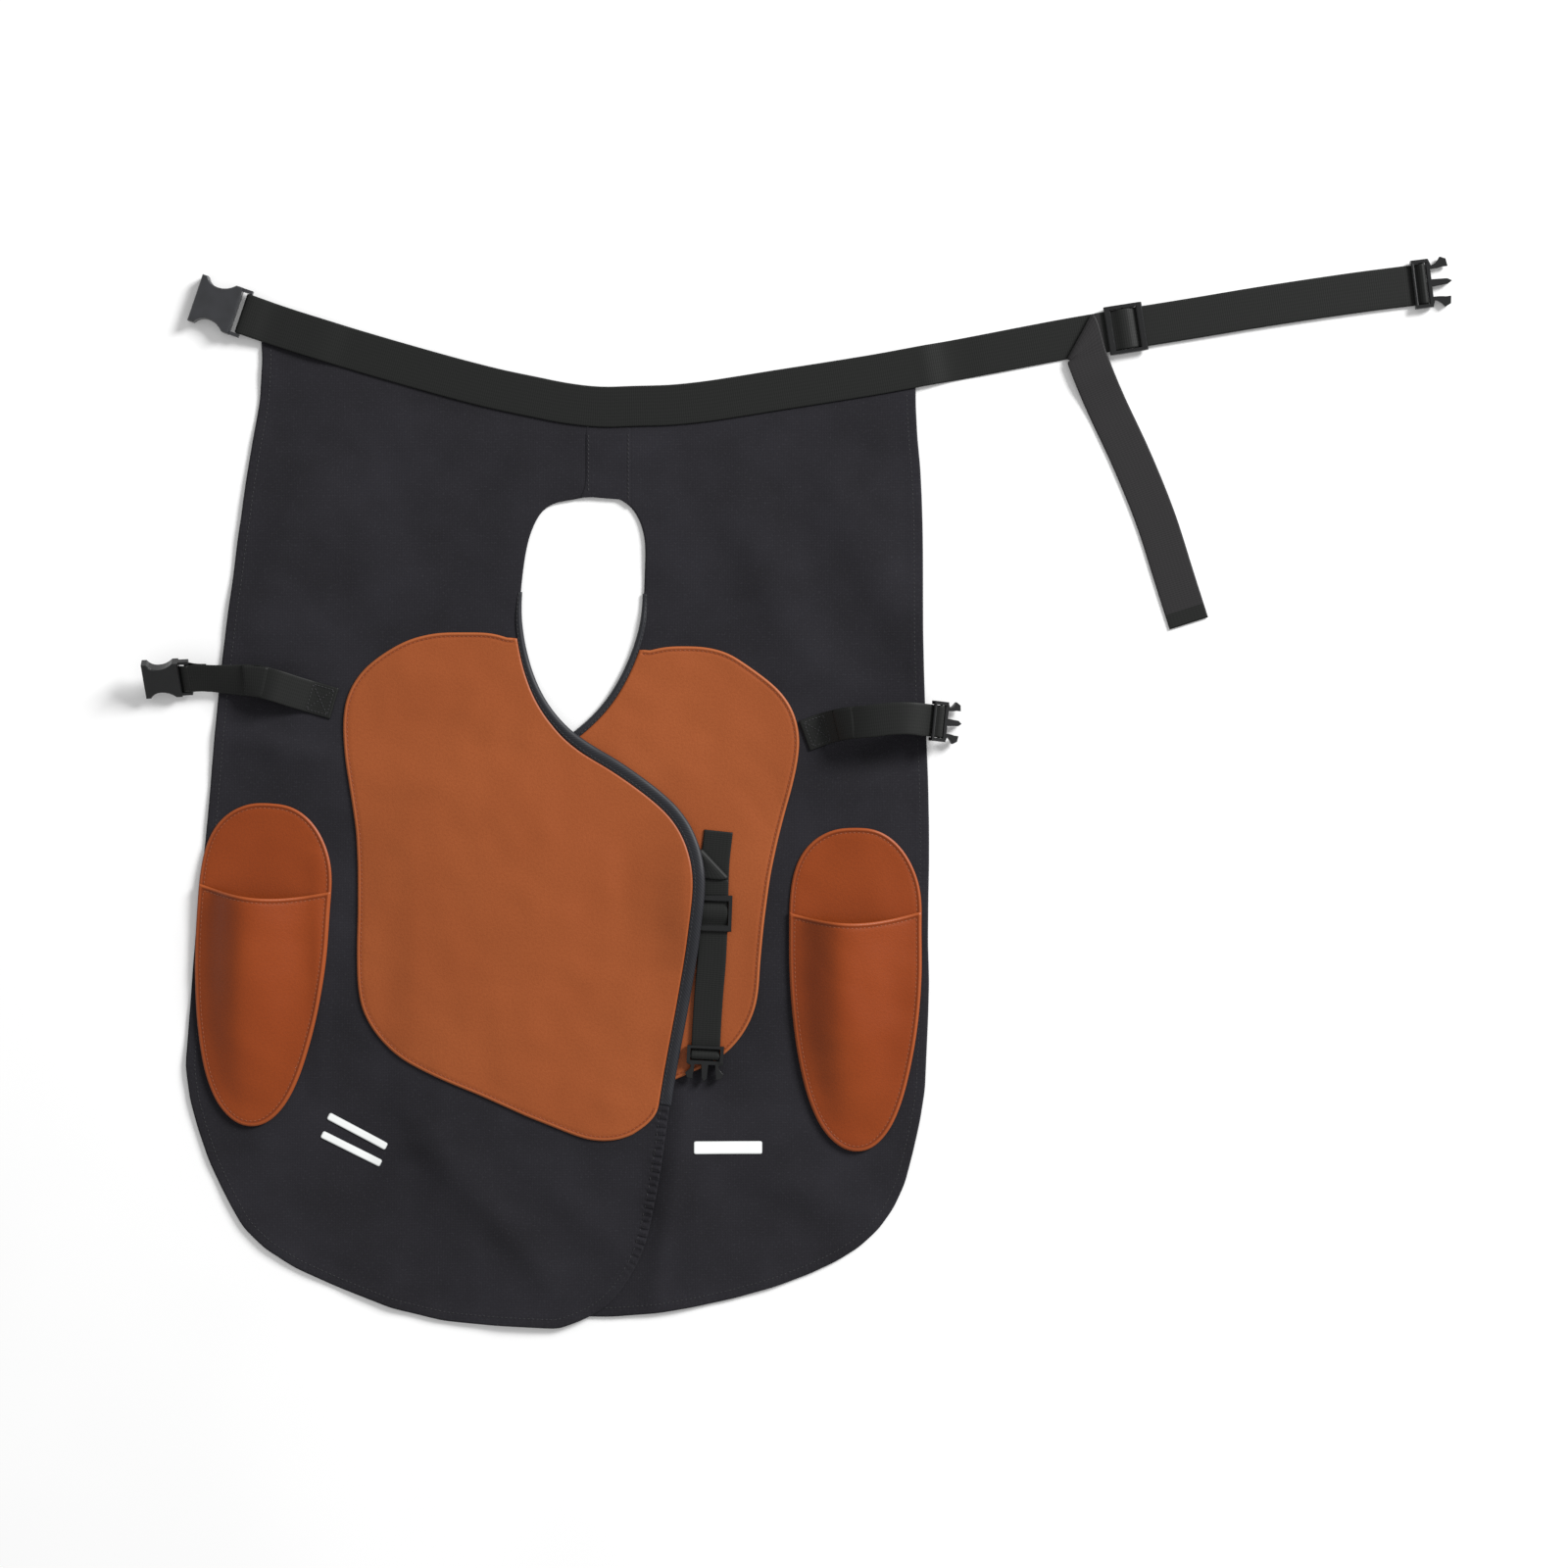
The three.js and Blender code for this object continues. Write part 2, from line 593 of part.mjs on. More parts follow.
// Three-bar slider: two side bars over the strap, a lower cross bar under it
function sliderGeometry(webbing, length) {
  const half = webbing / 2 + SIDE_CLEAR + SIDE_RAIL;
  const barFrom = 2 * PITCH;
  const barTo = barFrom + SLIDER_BAR;
  let solid = crossBar(SLIDER_CROSS_BAR, 2 * half - 1, 0, SLIDER_CROSS_BAR);
  for (const side of [-1, 1]) {
    const inside = side * (webbing / 2 + SIDE_CLEAR);
    const outside = side * half;
    const rail = new THREE.Shape();
    rail.moveTo(-length / 2, barFrom);
    rail.lineTo(-length / 2 + 5, 0);
    rail.lineTo(length / 2 - 5, 0);
    rail.lineTo(length / 2, barFrom);
    rail.lineTo(length / 2, barTo - 1);
    rail.lineTo(length / 2 - 2, barTo);
    rail.lineTo(-length / 2 + 2, barTo);
    rail.lineTo(-length / 2, barTo - 1);
    rail.closePath();
    const geometry = new THREE.ExtrudeGeometry(rail, { depth: SIDE_RAIL, bevelEnabled: false });
    geometry.rotateX(Math.PI / 2);
    geometry.translate(0, Math.max(inside, outside), 0);
    solid = solid.add(toSolid(geometry));
    const end = side * (length / 2 - SLIDER_SIDE_BAR / 2);
    const bar = new THREE.Shape();
    bar.moveTo(end - SLIDER_SIDE_BAR / 2, barFrom + 1);
    bar.lineTo(end - SLIDER_SIDE_BAR / 2 + 1, barFrom);
    bar.lineTo(end + SLIDER_SIDE_BAR / 2 - 1, barFrom);
    bar.lineTo(end + SLIDER_SIDE_BAR / 2, barFrom + 1);
    bar.lineTo(end + SLIDER_SIDE_BAR / 2, barTo - 1);
    bar.lineTo(end + SLIDER_SIDE_BAR / 2 - 1, barTo);
    bar.lineTo(end - SLIDER_SIDE_BAR / 2 + 1, barTo);
    bar.lineTo(end - SLIDER_SIDE_BAR / 2, barTo - 1);
    bar.closePath();
    const across = new THREE.ExtrudeGeometry(bar, { depth: 2 * half - 1, bevelEnabled: false });
    across.rotateX(Math.PI / 2);
    across.translate(0, half - 0.5, 0);
    solid = solid.add(toSolid(across));
  }
  return toGeometry(solid);
}

// How high a strap's lower layer runs at a distance from a slider's middle
function sliderWeave(distance, length) {
  const slotFrom = SLIDER_CROSS_BAR + 0.5;
  const slotTo = length / 2 - SLIDER_SIDE_BAR;
  return (2 * SLIDER_CROSS_BAR + GAP) * (1 - ease(Math.abs(distance), slotFrom, slotTo));
}

// Belt line
const beltPoints = [
  ...WAIST_LINE.map(({ across, rise }) => vector(
    across * (across < 0 ? WAIST_LEFT : WAIST_RIGHT),
    rise * WAIST_RISE,
  )),
  ...BELT_LINE.map(({ along, climb }) => vector(
    WAIST_RIGHT + along * BELT_FREE,
    WAIST_LINE.at(-1).rise * WAIST_RISE + climb * BELT_CLIMB,
  )),
];
const belt = planLine(beltPoints);

// Edge points of a panel, from the belt line down to the hem
function panelEdges(table, sign) {
  const corner = belt.at(distanceAtX(belt, sign * WAIST_RIGHT)).point;
  const seam = sign * SEAM_GAP / 2;
  const outer = [vector(corner.x, corner.y)];
  const inner = [vector(seam, 0)];
  for (const row of table) {
    outer.push(vector(sign * row.outer * PANEL_REACH, -row.outerDown * PANEL_DROP));
    inner.push(vector(sign * row.inner * PANEL_REACH, -row.innerDown * PANEL_DROP));
  }
  const keepToSide = (point) => {
    const inSeam = point.y > -SEAM_TO * PANEL_DROP;
    return inSeam ? vector(sign * Math.max(sign * point.x, SEAM_GAP / 2), point.y) : point;
  };
  return {
    outer: new THREE.CatmullRomCurve3(outer).getPoints(34),
    inner: new THREE.CatmullRomCurve3(inner).getPoints(66).map(keepToSide),
  };
}

const leftEdges = panelEdges(LEFT_PANEL, -1);
const rightEdges = panelEdges(RIGHT_PANEL, 1);

// The x of a line of points that runs downwards, at a height
function xReader(samples) {
  return (y) => {
    const found = samples.findIndex((sample) => sample.y <= y);
    const next = found < 0 ? samples.length - 1 : Math.max(found, 1);
    const above = samples[next - 1];
    const below = samples[next];
    const share = THREE.MathUtils.clamp((above.y - y) / (above.y - below.y), 0, 1);
    return above.x + (below.x - above.x) * share;
  };
}

const leftInnerX = xReader(leftEdges.inner);
const rightInnerX = xReader(rightEdges.inner);
const rightUnderEdge = rightEdges.inner.filter((point) => point.y < -CLIMB_FROM * PANEL_DROP);
const bumpPlace = vector(leftInnerX(-BUMP_AT * PANEL_DROP), -BUMP_AT * PANEL_DROP);

// Height of the back of the left panel's canvas over the floor at a place
function leftBack(x, y) {
  const inside = y < rightUnderEdge[0].y && x > rightInnerX(y);
  const away = Math.min(...rightUnderEdge.map((point) => Math.hypot(point.x - x, point.y - y)));
  const over = inside ? 1 : 1 - ease(away, CLIMB_MARGIN, CLIMB_MARGIN + CLIMB_LENGTH);
  const thin = ease(-y / PANEL_DROP, CLIMB_THIN_FROM, CLIMB_THIN_TO);
  const climb = CLIMB_OVER_PATCH + (CLIMB_OVER_CANVAS - CLIMB_OVER_PATCH) * thin;
  const bump = Math.hypot((x - bumpPlace.x) / BUMP_ACROSS, (y - bumpPlace.y) / BUMP_DOWN);
  return BACK + climb * over + BUMP_HEIGHT * (1 - ease(bump, 0, 1));
}

// Facet lines over a stretch, with one line on each side of it
function facetLines(from, to, before, after) {
  const count = Math.ceil((to - from) / FACET);
  const lines = [before];
  for (let line = 0; line <= count; line += 1) lines.push(from + (to - from) * line / count);
  return [...lines, after];
}

// The two faces that cloth lies in: the left panel's, and the flat right one
const reachOut = PANEL_REACH * 1.4;
const climbStart = Math.min(...rightUnderEdge.map((point) => point.x)) - CLIMB_MARGIN - CLIMB_LENGTH;
const climbTop = CLIMB_MARGIN + CLIMB_LENGTH - CLIMB_FROM * PANEL_DROP;
const climbEnd = Math.max(...leftEdges.inner.map((point) => point.x)) + BINDING_WIDTH;
const leftFace = {
  xs: facetLines(climbStart, climbEnd, -reachOut, reachOut),
  ys: facetLines(-PANEL_DROP * 1.01, climbTop, -PANEL_DROP * 1.2, PANEL_DROP * 0.3),
  back: leftBack,
};
const rightFace = {
  xs: [-reachOut, reachOut],
  ys: [-PANEL_DROP * 1.2, PANEL_DROP * 0.3],
  back: () => BACK,
};

// A layer of cloth in a face: an outline in plan, from a height over the
// canvas's back through a thickness
function layer(face, outline, from, thickness) {
  const grid = (offset) => face.ys.map((y) => face.xs.map((x) => vector(x, y, face.back(x, y) + offset)));
  const sheet = toSolid(wallBetween(grid(from + thickness), grid(from)));
  const shape = new THREE.Shape(outline.map(({ x, y }) => new THREE.Vector2(x, y)));
  const depth = CLIMB_OVER_PATCH + BUMP_HEIGHT + PANEL_REACH;
  const prism = new THREE.ExtrudeGeometry(shape, { depth, bevelEnabled: false });
  prism.translate(0, 0, -depth / 2);
  return sheet.intersect(toSolid(prism));
}

// The band beside a run of points in plan, between two distances to its left
function band(points, from, to) {
  const offset = (distance) => points.map((point, place) => {
    const before = points[Math.max(place - 1, 0)];
    const after = points[Math.min(place + 1, points.length - 1)];
    const way = after.clone().sub(before).normalize();
    return point.clone().addScaledVector(vector(-way.y, way.x), distance);
  });
  return [...offset(from), ...offset(to).reverse()];
}

// The stretch of a panel's inner edge that the binding covers
function boundStretch(edges) {
  return edges.inner.filter((point) => (
    point.y <= -BINDING_FROM * PANEL_DROP && point.y >= -BINDING_TO * PANEL_DROP
  ));
}

// Panel: canvas with its turned hem under the side, bottom and inner edge
function panelGeometry(face, edges, sign) {
  const cloth = layer(face, [...edges.outer, ...edges.inner.slice().reverse()], 0, CANVAS);
  const unbound = edges.inner.filter((point) => point.y < -(BINDING_TO + 0.01) * PANEL_DROP);
  const run = [
    ...edges.outer.filter((point) => point.y < -HEM_FROM * PANEL_DROP),
    ...unbound.reverse(),
  ];
  const inward = sign < 0 ? 1 : -1;
  const hem = layer(face, band(run, 0, inward * HEM_WIDTH), -BACK, BACK + CANVAS / 2);
  return toGeometry(cloth.add(hem));
}

addMesh('panel_left', panelGeometry(leftFace, leftEdges, -1), 'canvas');
addMesh('panel_right', panelGeometry(rightFace, rightEdges, 1), 'canvas');

// Binding tape: one leaf over the canvas and one under it, joined round its edge
function bindingGeometry(face, edges, inward) {
  const run = boundStretch(edges);
  const outside = -inward * (GAP + TAPE);
  const leaf = band(run, outside, inward * BINDING_WIDTH);
  const web = band(run, outside, -inward * GAP);
  const solid = layer(face, leaf, OVER_CANVAS, TAPE)
    .add(layer(face, leaf, -BACK, TAPE))
    .add(layer(face, web, -BACK, BACK + OVER_CANVAS + TAPE));
  return toGeometry(solid);
}

addMesh('binding_left', bindingGeometry(leftFace, leftEdges, -1), 'tape');
addMesh('binding_right', bindingGeometry(rightFace, rightEdges, 1), 'tape');

// Thigh patch: where a row has no inner share it runs to the edge of its panel,
// and is trimmed beside the binding
function patchGeometry(face, table, sign, edges) {
  const innerX = xReader(edges.inner);
  const inner = table.map((row) => {
    const y = -row.down * PANEL_DROP;
    return vector(row.inner === undefined ? innerX(y) : sign * row.inner * PANEL_REACH, y);
  });
  const outer = table.map((row) => vector(sign * row.outer * PANEL_REACH, -row.down * PANEL_DROP));
  const outline = [...new THREE.CatmullRomCurve3(outer).getPoints(32), ...inner.reverse()];
  const trim = band(boundStretch(edges), -sign * BINDING_WIDTH, sign * (BINDING_WIDTH + GAP));
  return toGeometry(layer(face, outline, OVER_CANVAS, LEATHER)
    .subtract(layer(face, trim, OVER_CANVAS - GAP, LEATHER + 2 * GAP)));
}

addMesh('thigh_patch_left', patchGeometry(leftFace, LEFT_PATCH, -1, leftEdges), 'leather');
addMesh('thigh_patch_right', patchGeometry(rightFace, RIGHT_PATCH, 1, rightEdges), 'leather');

// Pockets: a leather back on the canvas, and a front that bulges to its mouth
function pocketEdge(side, from) {
  const points = POCKET.filter((row) => row.down >= from || row === POCKET.at(-1))
    .map((row) => vector(side * row[side < 0 ? 'left' : 'right'] * POCKET_WIDTH, -row.down * POCKET_LENGTH));
  return new THREE.CatmullRomCurve3(points);
}

function pocketGroup(side) {
  const { across, down, lean } = POCKETS[side];
  const group = new THREE.Group();
  group.position.set(across * PANEL_REACH, -down * PANEL_DROP, ON_CANVAS);
  group.rotation.z = THREE.MathUtils.degToRad(lean);
  apron.add(group);

  const outline = new THREE.Shape([
    ...pocketEdge(-1, 0).getPoints(22),
    ...pocketEdge(1, 0).getPoints(22).reverse(),
  ].map(({ x, y }) => new THREE.Vector2(x, y)));
  const back = new THREE.ExtrudeGeometry(outline, { depth: LEATHER, bevelEnabled: false });
  addMesh(`pocket_back_${side}`, back, 'pocket', group);

  const left = pocketEdge(-1, POCKET_MOUTH_SHARE - 0.08);
  const right = pocketEdge(1, POCKET_MOUTH_SHARE - 0.08);
  const mouth = -POCKET_MOUTH_SHARE * POCKET_LENGTH;
  const bottomEnd = -POCKET_LENGTH * 0.985;
  const rowsDown = 12;
  const columns = [0, 0.06, 0.14, 0.24, 0.36, 0.48, 0.62, 0.78, 0.94, 1];
  const height = (share, along) => {
    const rim = POCKET_RIM / POCKET_WIDTH;
    const crest = 0.36;
    const rise = ease(share, rim, crest) * (1 - ease(share, crest, 1 - rim));
    return POCKET_CREST * rise * Math.cos(Math.min(along / 0.93, 1) * Math.PI / 2) ** 0.8;
  };
  const leftX = xReader(left.getPoints(60));
  const rightX = xReader(right.getPoints(60));
  const place = (share, along) => {
    const sag = POCKET_MOUTH_SAG * Math.sin(share * Math.PI) * (1 - along);
    const y = mouth + (bottomEnd - mouth) * along - sag;
    const x = leftX(y) + (rightX(y) - leftX(y)) * share;
    return vector(x, y, LEATHER + GAP + height(share, along));
  };
  const outside = [];
  const inside = [];
  for (let row = 0; row <= rowsDown; row += 1) {
    const along = row / rowsDown;
    inside.push(columns.map((share) => place(share, along)));
    outside.push(columns.map((share) => {
      const step = 0.01;
      const acrossWay = place(Math.min(share + step, 1), along).sub(place(Math.max(share - step, 0), along));
      const downWay = place(share, Math.min(along + step, 1)).sub(place(share, Math.max(along - step, 0)));
      const normal = downWay.cross(acrossWay).normalize();
      return place(share, along).addScaledVector(normal.z < 0 ? normal.negate() : normal, LEATHER);
    }));
  }
  addMesh(`pocket_front_${side}`, wallBetween(outside, inside), 'pocket', group);
}

pocketGroup('left');
pocketGroup('right');

// Belt webbing: round the socket's bar, along the waist, through the slider,
// round the plug's bar and back through the slider to the folded tail
const socketBar = SOCKET_THICK / 2;
const onPanel = ON_CANVAS + WEB / 2;
const onFloor = WEB / 2;
const plugBarHeight = WEB / 2 + WRAP;
const panelEnd = distanceAtX(belt, WAIST_RIGHT);
const sliderAt = panelEnd + SLIDER_FROM_PANEL;
const foldAt = sliderAt - FOLD_BEFORE_SLIDER;
const beltEnd = belt.length;

function waistRungs() {
  const rungs = [];
  const add = (distance, height) => rungs.push(rungOn(belt, distance, height, WAIST_WEBBING));
  const wrapAround = (distance, height, fromAngle, toAngle) => {
    const steps = 6;
    for (let step = 0; step <= steps; step += 1) {
      const angle = THREE.MathUtils.degToRad(fromAngle + (toAngle - fromAngle) * step / steps);
      add(distance + WRAP * Math.cos(angle), height + WRAP * Math.sin(angle));
    }
  };
  add(BELT_LEAF, onPanel);
  add(BELT_LEAF * 0.6, onPanel);
  add(BELT_LEAF * 0.3, onPanel);
  wrapAround(0, socketBar, 270, 90);
  add(BELT_LEAF * 0.14, onPanel + PITCH + 2.6);
  add(BELT_LEAF * 0.3, onPanel + PITCH + 0.4);
  add(BELT_LEAF * 0.6, onPanel + PITCH);
  add(BELT_LEAF + 4, onPanel + PITCH);
  add(BELT_LEAF + 24, onPanel);
  const waistSteps = 16;
  const from = BELT_LEAF + 40;
  for (let step = 0; step <= waistSteps; step += 1) {
    add(from + (panelEnd - 2 - from) * step / waistSteps, onPanel);
  }
  add(panelEnd + 8, onPanel);
  add(panelEnd + 30, onFloor);
  const reach = SLIDER_WAIST_LENGTH / 2;
  const throughSlider = (way, base) => {
    const steps = 12;
    for (let step = 0; step <= steps; step += 1) {
      const offset = way * reach * (2 * step / steps - 1);
      add(sliderAt + offset, base + sliderWeave(offset, SLIDER_WAIST_LENGTH));
    }
  };
  for (const share of [0.25, 0.5, 0.75]) {
    add(panelEnd + 30 + (SLIDER_FROM_PANEL - 30 - reach) * share, onFloor);
  }
  throughSlider(1, onFloor);
  const beyond = beltEnd - sliderAt - reach;
  for (const share of [0.2, 0.4, 0.6, 0.8]) add(sliderAt + reach + beyond * share, onFloor);
  add(beltEnd - PLUG_REAR_BAR * 2, onFloor);
  wrapAround(beltEnd, plugBarHeight, -90, 90);
  add(beltEnd - PLUG_REAR_BAR + BAR_RADIUS + GAP, onFloor + PITCH + 0.05);
  add(beltEnd - PLUG_REAR_BAR * 2, onFloor + PITCH);
  for (const share of [0.8, 0.6, 0.4, 0.2]) add(sliderAt + reach + beyond * share, onFloor + PITCH);
  throughSlider(-1, onFloor + PITCH);
  return rungs;
}

// A strap folded over a crease: it turns from one heading to another
function creaseFold(centre, heading, newHeading, width, height, rise) {
  const crease = newHeading.clone().add(heading.clone().negate()).normalize();
  const along = vector(-crease.y, crease.x);
  const facing = along.dot(vector(-heading.y, heading.x)) < 0 ? -1 : 1;
  const sine = Math.abs(along.clone().cross(heading).z);
  const half = along.multiplyScalar(facing * width / 2 / sine);
  const outward = crease.clone().negate();
  const bend = Math.abs(rise) / 2 + 0.1;
  const rung = (offset, z) => ({
    centre: vector(centre.x, centre.y, z).addScaledVector(outward, offset),
    half: half.clone(),
  });
  return [
    rung(-bend, height),
    rung(-bend * 0.3, height + rise * 0.15),
    rung(0, height + rise / 2),
    rung(-bend * 0.3, height + rise * 0.85),
    rung(-bend, height + rise),
  ];
}

function waistTail(rungs) {
  const { point, tangent } = belt.at(foldAt);
  const heading = tangent.clone().negate();
  const tailAngle = THREE.MathUtils.degToRad(-67.2);
  const newHeading = vector(Math.cos(tailAngle), Math.sin(tailAngle));
  const left = vector(-newHeading.y, newHeading.x);
  const layer = onFloor + PITCH;
  rungs.push(rungOn(belt, foldAt + WAIST_WEBBING / 2, layer, WAIST_WEBBING));
  rungs.push(...creaseFold(point, heading, newHeading, WAIST_WEBBING, layer, PITCH));
  const line = planLine([
    point.clone(),
    ...TAIL_LINE.map(({ along, sway }) => point.clone()
      .addScaledVector(newHeading, along * TAIL_LENGTH)
      .addScaledVector(left, sway * TAIL_LENGTH)),
  ]);
  const steps = 14;
  const from = WAIST_WEBBING * 0.55;
  for (let step = 0; step <= steps; step += 1) {
    const distance = from + (line.length - from) * step / steps;
    const over = 1 - ease(distance, WAIST_WEBBING * 0.85, WAIST_WEBBING * 2);
    rungs.push(rungOn(line, distance, onFloor + 2 * PITCH * over, WAIST_WEBBING));
    rungs.at(-1).half.negate();
  }
  return rungs;
}

// The lower layer leaves its rungs with the side on its left, the upper layer
// runs back, so its sides keep the same way and its face turns over
addMesh('waist_webbing', strap(waistTail(waistRungs())), 'webbing');

// Places a piece whose X runs along a heading in plan
function placeAlong(mesh, point, heading, height) {
  mesh.position.set(point.x, point.y, height);
  mesh.rotation.z = Math.atan2(heading.y, heading.x);
}

const socketEnd = belt.at(0);
placeAlong(
  addMesh('waist_buckle_socket', socketGeometry(WAIST_WEBBING, SOCKET_WAIST_LENGTH), 'plastic'),
  socketEnd.point, socketEnd.tangent.clone().negate(), 0,
);
const sliderPlace = belt.at(sliderAt);
placeAlong(
  addMesh('waist_slider', sliderGeometry(WAIST_WEBBING, SLIDER_WAIST_LENGTH), 'plastic'),
  sliderPlace.point, sliderPlace.tangent, 0,
);
const plugPlace = belt.at(beltEnd);
placeAlong(
  addMesh('waist_buckle_plug', plugGeometry(WAIST_WEBBING, PLUG_WAIST_REACH), 'plastic'),
  plugPlace.point, plugPlace.tangent, 0,
);

// Thigh strap: sewn flat on the canvas, arched off it, its end folded round
// the bar of its buckle. A plug's rear bar lies over the strap, a socket has none
function legStrap(leg, span, arch, rearBar) {
  const start = vector(leg.across * PANEL_REACH, -leg.down * PANEL_DROP, ON_CANVAS + WEB / 2);
  const angle = THREE.MathUtils.degToRad(leg.heading);
  const heading = vector(Math.cos(angle), Math.sin(angle));
  const left = vector(-heading.y, heading.x);
  const curve = new THREE.CatmullRomCurve3(leg.rows.map(({ along, drift, lift }) => start.clone()
    .addScaledVector(heading, along * span)
    .addScaledVector(left, drift * span)
    .add(vector(0, 0, lift * arch))));
  const roll = (share) => {
    const place = share * (leg.rows.length - 1);
    const row = Math.min(Math.floor(place), leg.rows.length - 2);
    return THREE.MathUtils.lerp(leg.rows[row].roll, leg.rows[row + 1].roll, place - row);
  };
  const frameAt = (share) => {
    const tangent = curve.getTangent(share);
    const side = vector(-tangent.y, tangent.x).normalize()
      .applyAxisAngle(tangent, THREE.MathUtils.degToRad(-roll(share)));
    const point = curve.getPoint(share);
    point.z = Math.max(point.z, start.z);
    return { point, tangent, side, normal: tangent.clone().cross(side) };
  };
  const rungs = [];
  const add = (centre, side) => rungs.push({
    centre,
    half: side.clone().multiplyScalar(LEG_WEBBING / 2),
  });
  const steps = 20;
  for (let step = 0; step <= steps; step += 1) {
    const frame = frameAt(step / steps);
    add(frame.point, frame.side);
  }
  const end = frameAt(1);
  const from = (forward, up) => end.point.clone()
    .addScaledVector(end.tangent, forward)
    .addScaledVector(end.normal, up);
  const barForward = rearBar ? 2 * PLUG_REAR_BAR : 0;
  const barUp = rearBar ? WRAP - PITCH : -WRAP;
  if (rearBar) add(from(barForward - PLUG_REAR_BAR + BAR_RADIUS + GAP, 0.05), end.side);
  for (let turn = rearBar ? 0 : 30; turn <= 180; turn += 30) {
    const turned = THREE.MathUtils.degToRad(turn);
    add(from(barForward + WRAP * Math.sin(turned), barUp + WRAP * Math.cos(turned)), end.side);
  }
  if (rearBar) add(from(0, -PITCH), end.side);
  const length = curve.getLength();
  for (const back of [0.3, 0.6, 1]) {
    const frame = frameAt(1 - back * LEG_LEAF / length);
    const spread = rearBar ? PITCH : 2 * WRAP;
    const drop = THREE.MathUtils.lerp(spread, PITCH, Math.min(back * 1.6, 1));
    add(frame.point.addScaledVector(frame.normal, -drop), frame.side);
  }
  return { rungs, bar: from(barForward, barUp), end };
}

// Places a buckle on the frame at a strap's end
function placeOnStrap(mesh, { bar, end }, barHeight) {
  mesh.matrix.makeBasis(end.tangent, end.side, end.normal);
  mesh.matrix.setPosition(bar.clone().addScaledVector(end.normal, -barHeight));
  mesh.matrix.decompose(mesh.position, mesh.quaternion, mesh.scale);
}

const legLeft = legStrap(LEG_LEFT, LEG_LEFT_SPAN, LEG_LEFT_ARCH, false);
addMesh('leg_strap_left', strap(legLeft.rungs), 'webbing');
placeOnStrap(
  addMesh('leg_buckle_socket', socketGeometry(LEG_WEBBING, SOCKET_LEG_LENGTH), 'plastic'),
  legLeft, socketBar,
);

const legRight = legStrap(LEG_RIGHT, LEG_RIGHT_SPAN, LEG_RIGHT_ARCH, true);
addMesh('leg_strap_right', strap(legRight.rungs), 'webbing');
placeOnStrap(
  addMesh('leg_buckle_plug', plugGeometry(LEG_WEBBING, PLUG_LEG_REACH), 'plastic'),
  legRight, plugBarHeight,
);

// Inner strap: from its seam under the left panel it folds downwards, runs
// through its slider, round the plug's bar and back to a short tail
const innerFold = vector(INNER.across * PANEL_REACH, -INNER.down * PANEL_DROP);
const innerLine = planLine(INNER.rows.map(({ along, drift }) => innerFold.clone()
  .add(vector(drift * INNER_SPAN, -along * INNER_SPAN))));
const innerStart = INNER.rows[0].along * -INNER_SPAN;
const innerBase = ON_CANVAS + LEATHER + GAP;
const innerLow = innerBase + WEB / 2;
const innerHigh = innerLow + PITCH;
const innerEnd = innerLine.length;
const innerSliderAt = innerStart + INNER_SLIDER_AT;

function innerRungs() {
  const incoming = vector(1, 0);
  const outgoing = innerLine.at(innerStart).tangent;
  const top = innerHigh + PITCH;
  const rungs = [];
  const steps = 4;
  for (let step = 0; step <= steps; step += 1) {
    const x = innerFold.x - INNER_ANCHOR + (INNER_ANCHOR - INNER_WEBBING * 0.65) * step / steps;
    const backs = [-1, 0, 1].map((way) => leftBack(x, innerFold.y + way * INNER_WEBBING / 2));
    const under = Math.min(...backs) - 2 * GAP - WEB / 2;
    rungs.push({
      centre: vector(x, innerFold.y, Math.min(under, top)),
      half: vector(0, INNER_WEBBING / 2),
    });
  }
  rungs.push(...creaseFold(innerFold, incoming, outgoing, INNER_WEBBING, top, -PITCH));
  const add = (distance, height, flip = -1) => {
    rungs.push(rungOn(innerLine, distance, height, INNER_WEBBING));
    rungs.at(-1).half.multiplyScalar(flip);
  };
  add(innerStart + INNER_WEBBING * 0.65, innerHigh);
  const reach = SLIDER_INNER_LENGTH / 2;
  const throughSlider = (way, base) => {
    const weaveSteps = 12;
    for (let step = 0; step <= weaveSteps; step += 1) {
      const offset = way * reach * (2 * step / weaveSteps - 1);
      add(innerSliderAt + offset, base + sliderWeave(offset, SLIDER_INNER_LENGTH));
    }
  };
  throughSlider(1, innerHigh);
  const beyond = innerEnd - innerSliderAt - reach;
  for (const share of [0.25, 0.5, 0.75]) add(innerSliderAt + reach + beyond * share, innerHigh);
  add(innerEnd - PLUG_REAR_BAR * 2, innerHigh);
  add(innerEnd - PLUG_REAR_BAR + BAR_RADIUS + GAP, innerHigh + 0.15);
  for (let turn = 90; turn >= -90; turn -= 30) {
    const turned = THREE.MathUtils.degToRad(turn);
    add(innerEnd + WRAP * Math.cos(turned), innerLow + WRAP + WRAP * Math.sin(turned));
  }
  add(innerEnd - PLUG_REAR_BAR * 2, innerLow);
  for (const share of [0.75, 0.5, 0.25]) add(innerSliderAt + reach + beyond * share, innerLow);
  throughSlider(-1, innerLow);
  add(innerStart, innerLow);
  add(innerStart - INNER_TAIL, innerLow);
  return rungs;
}

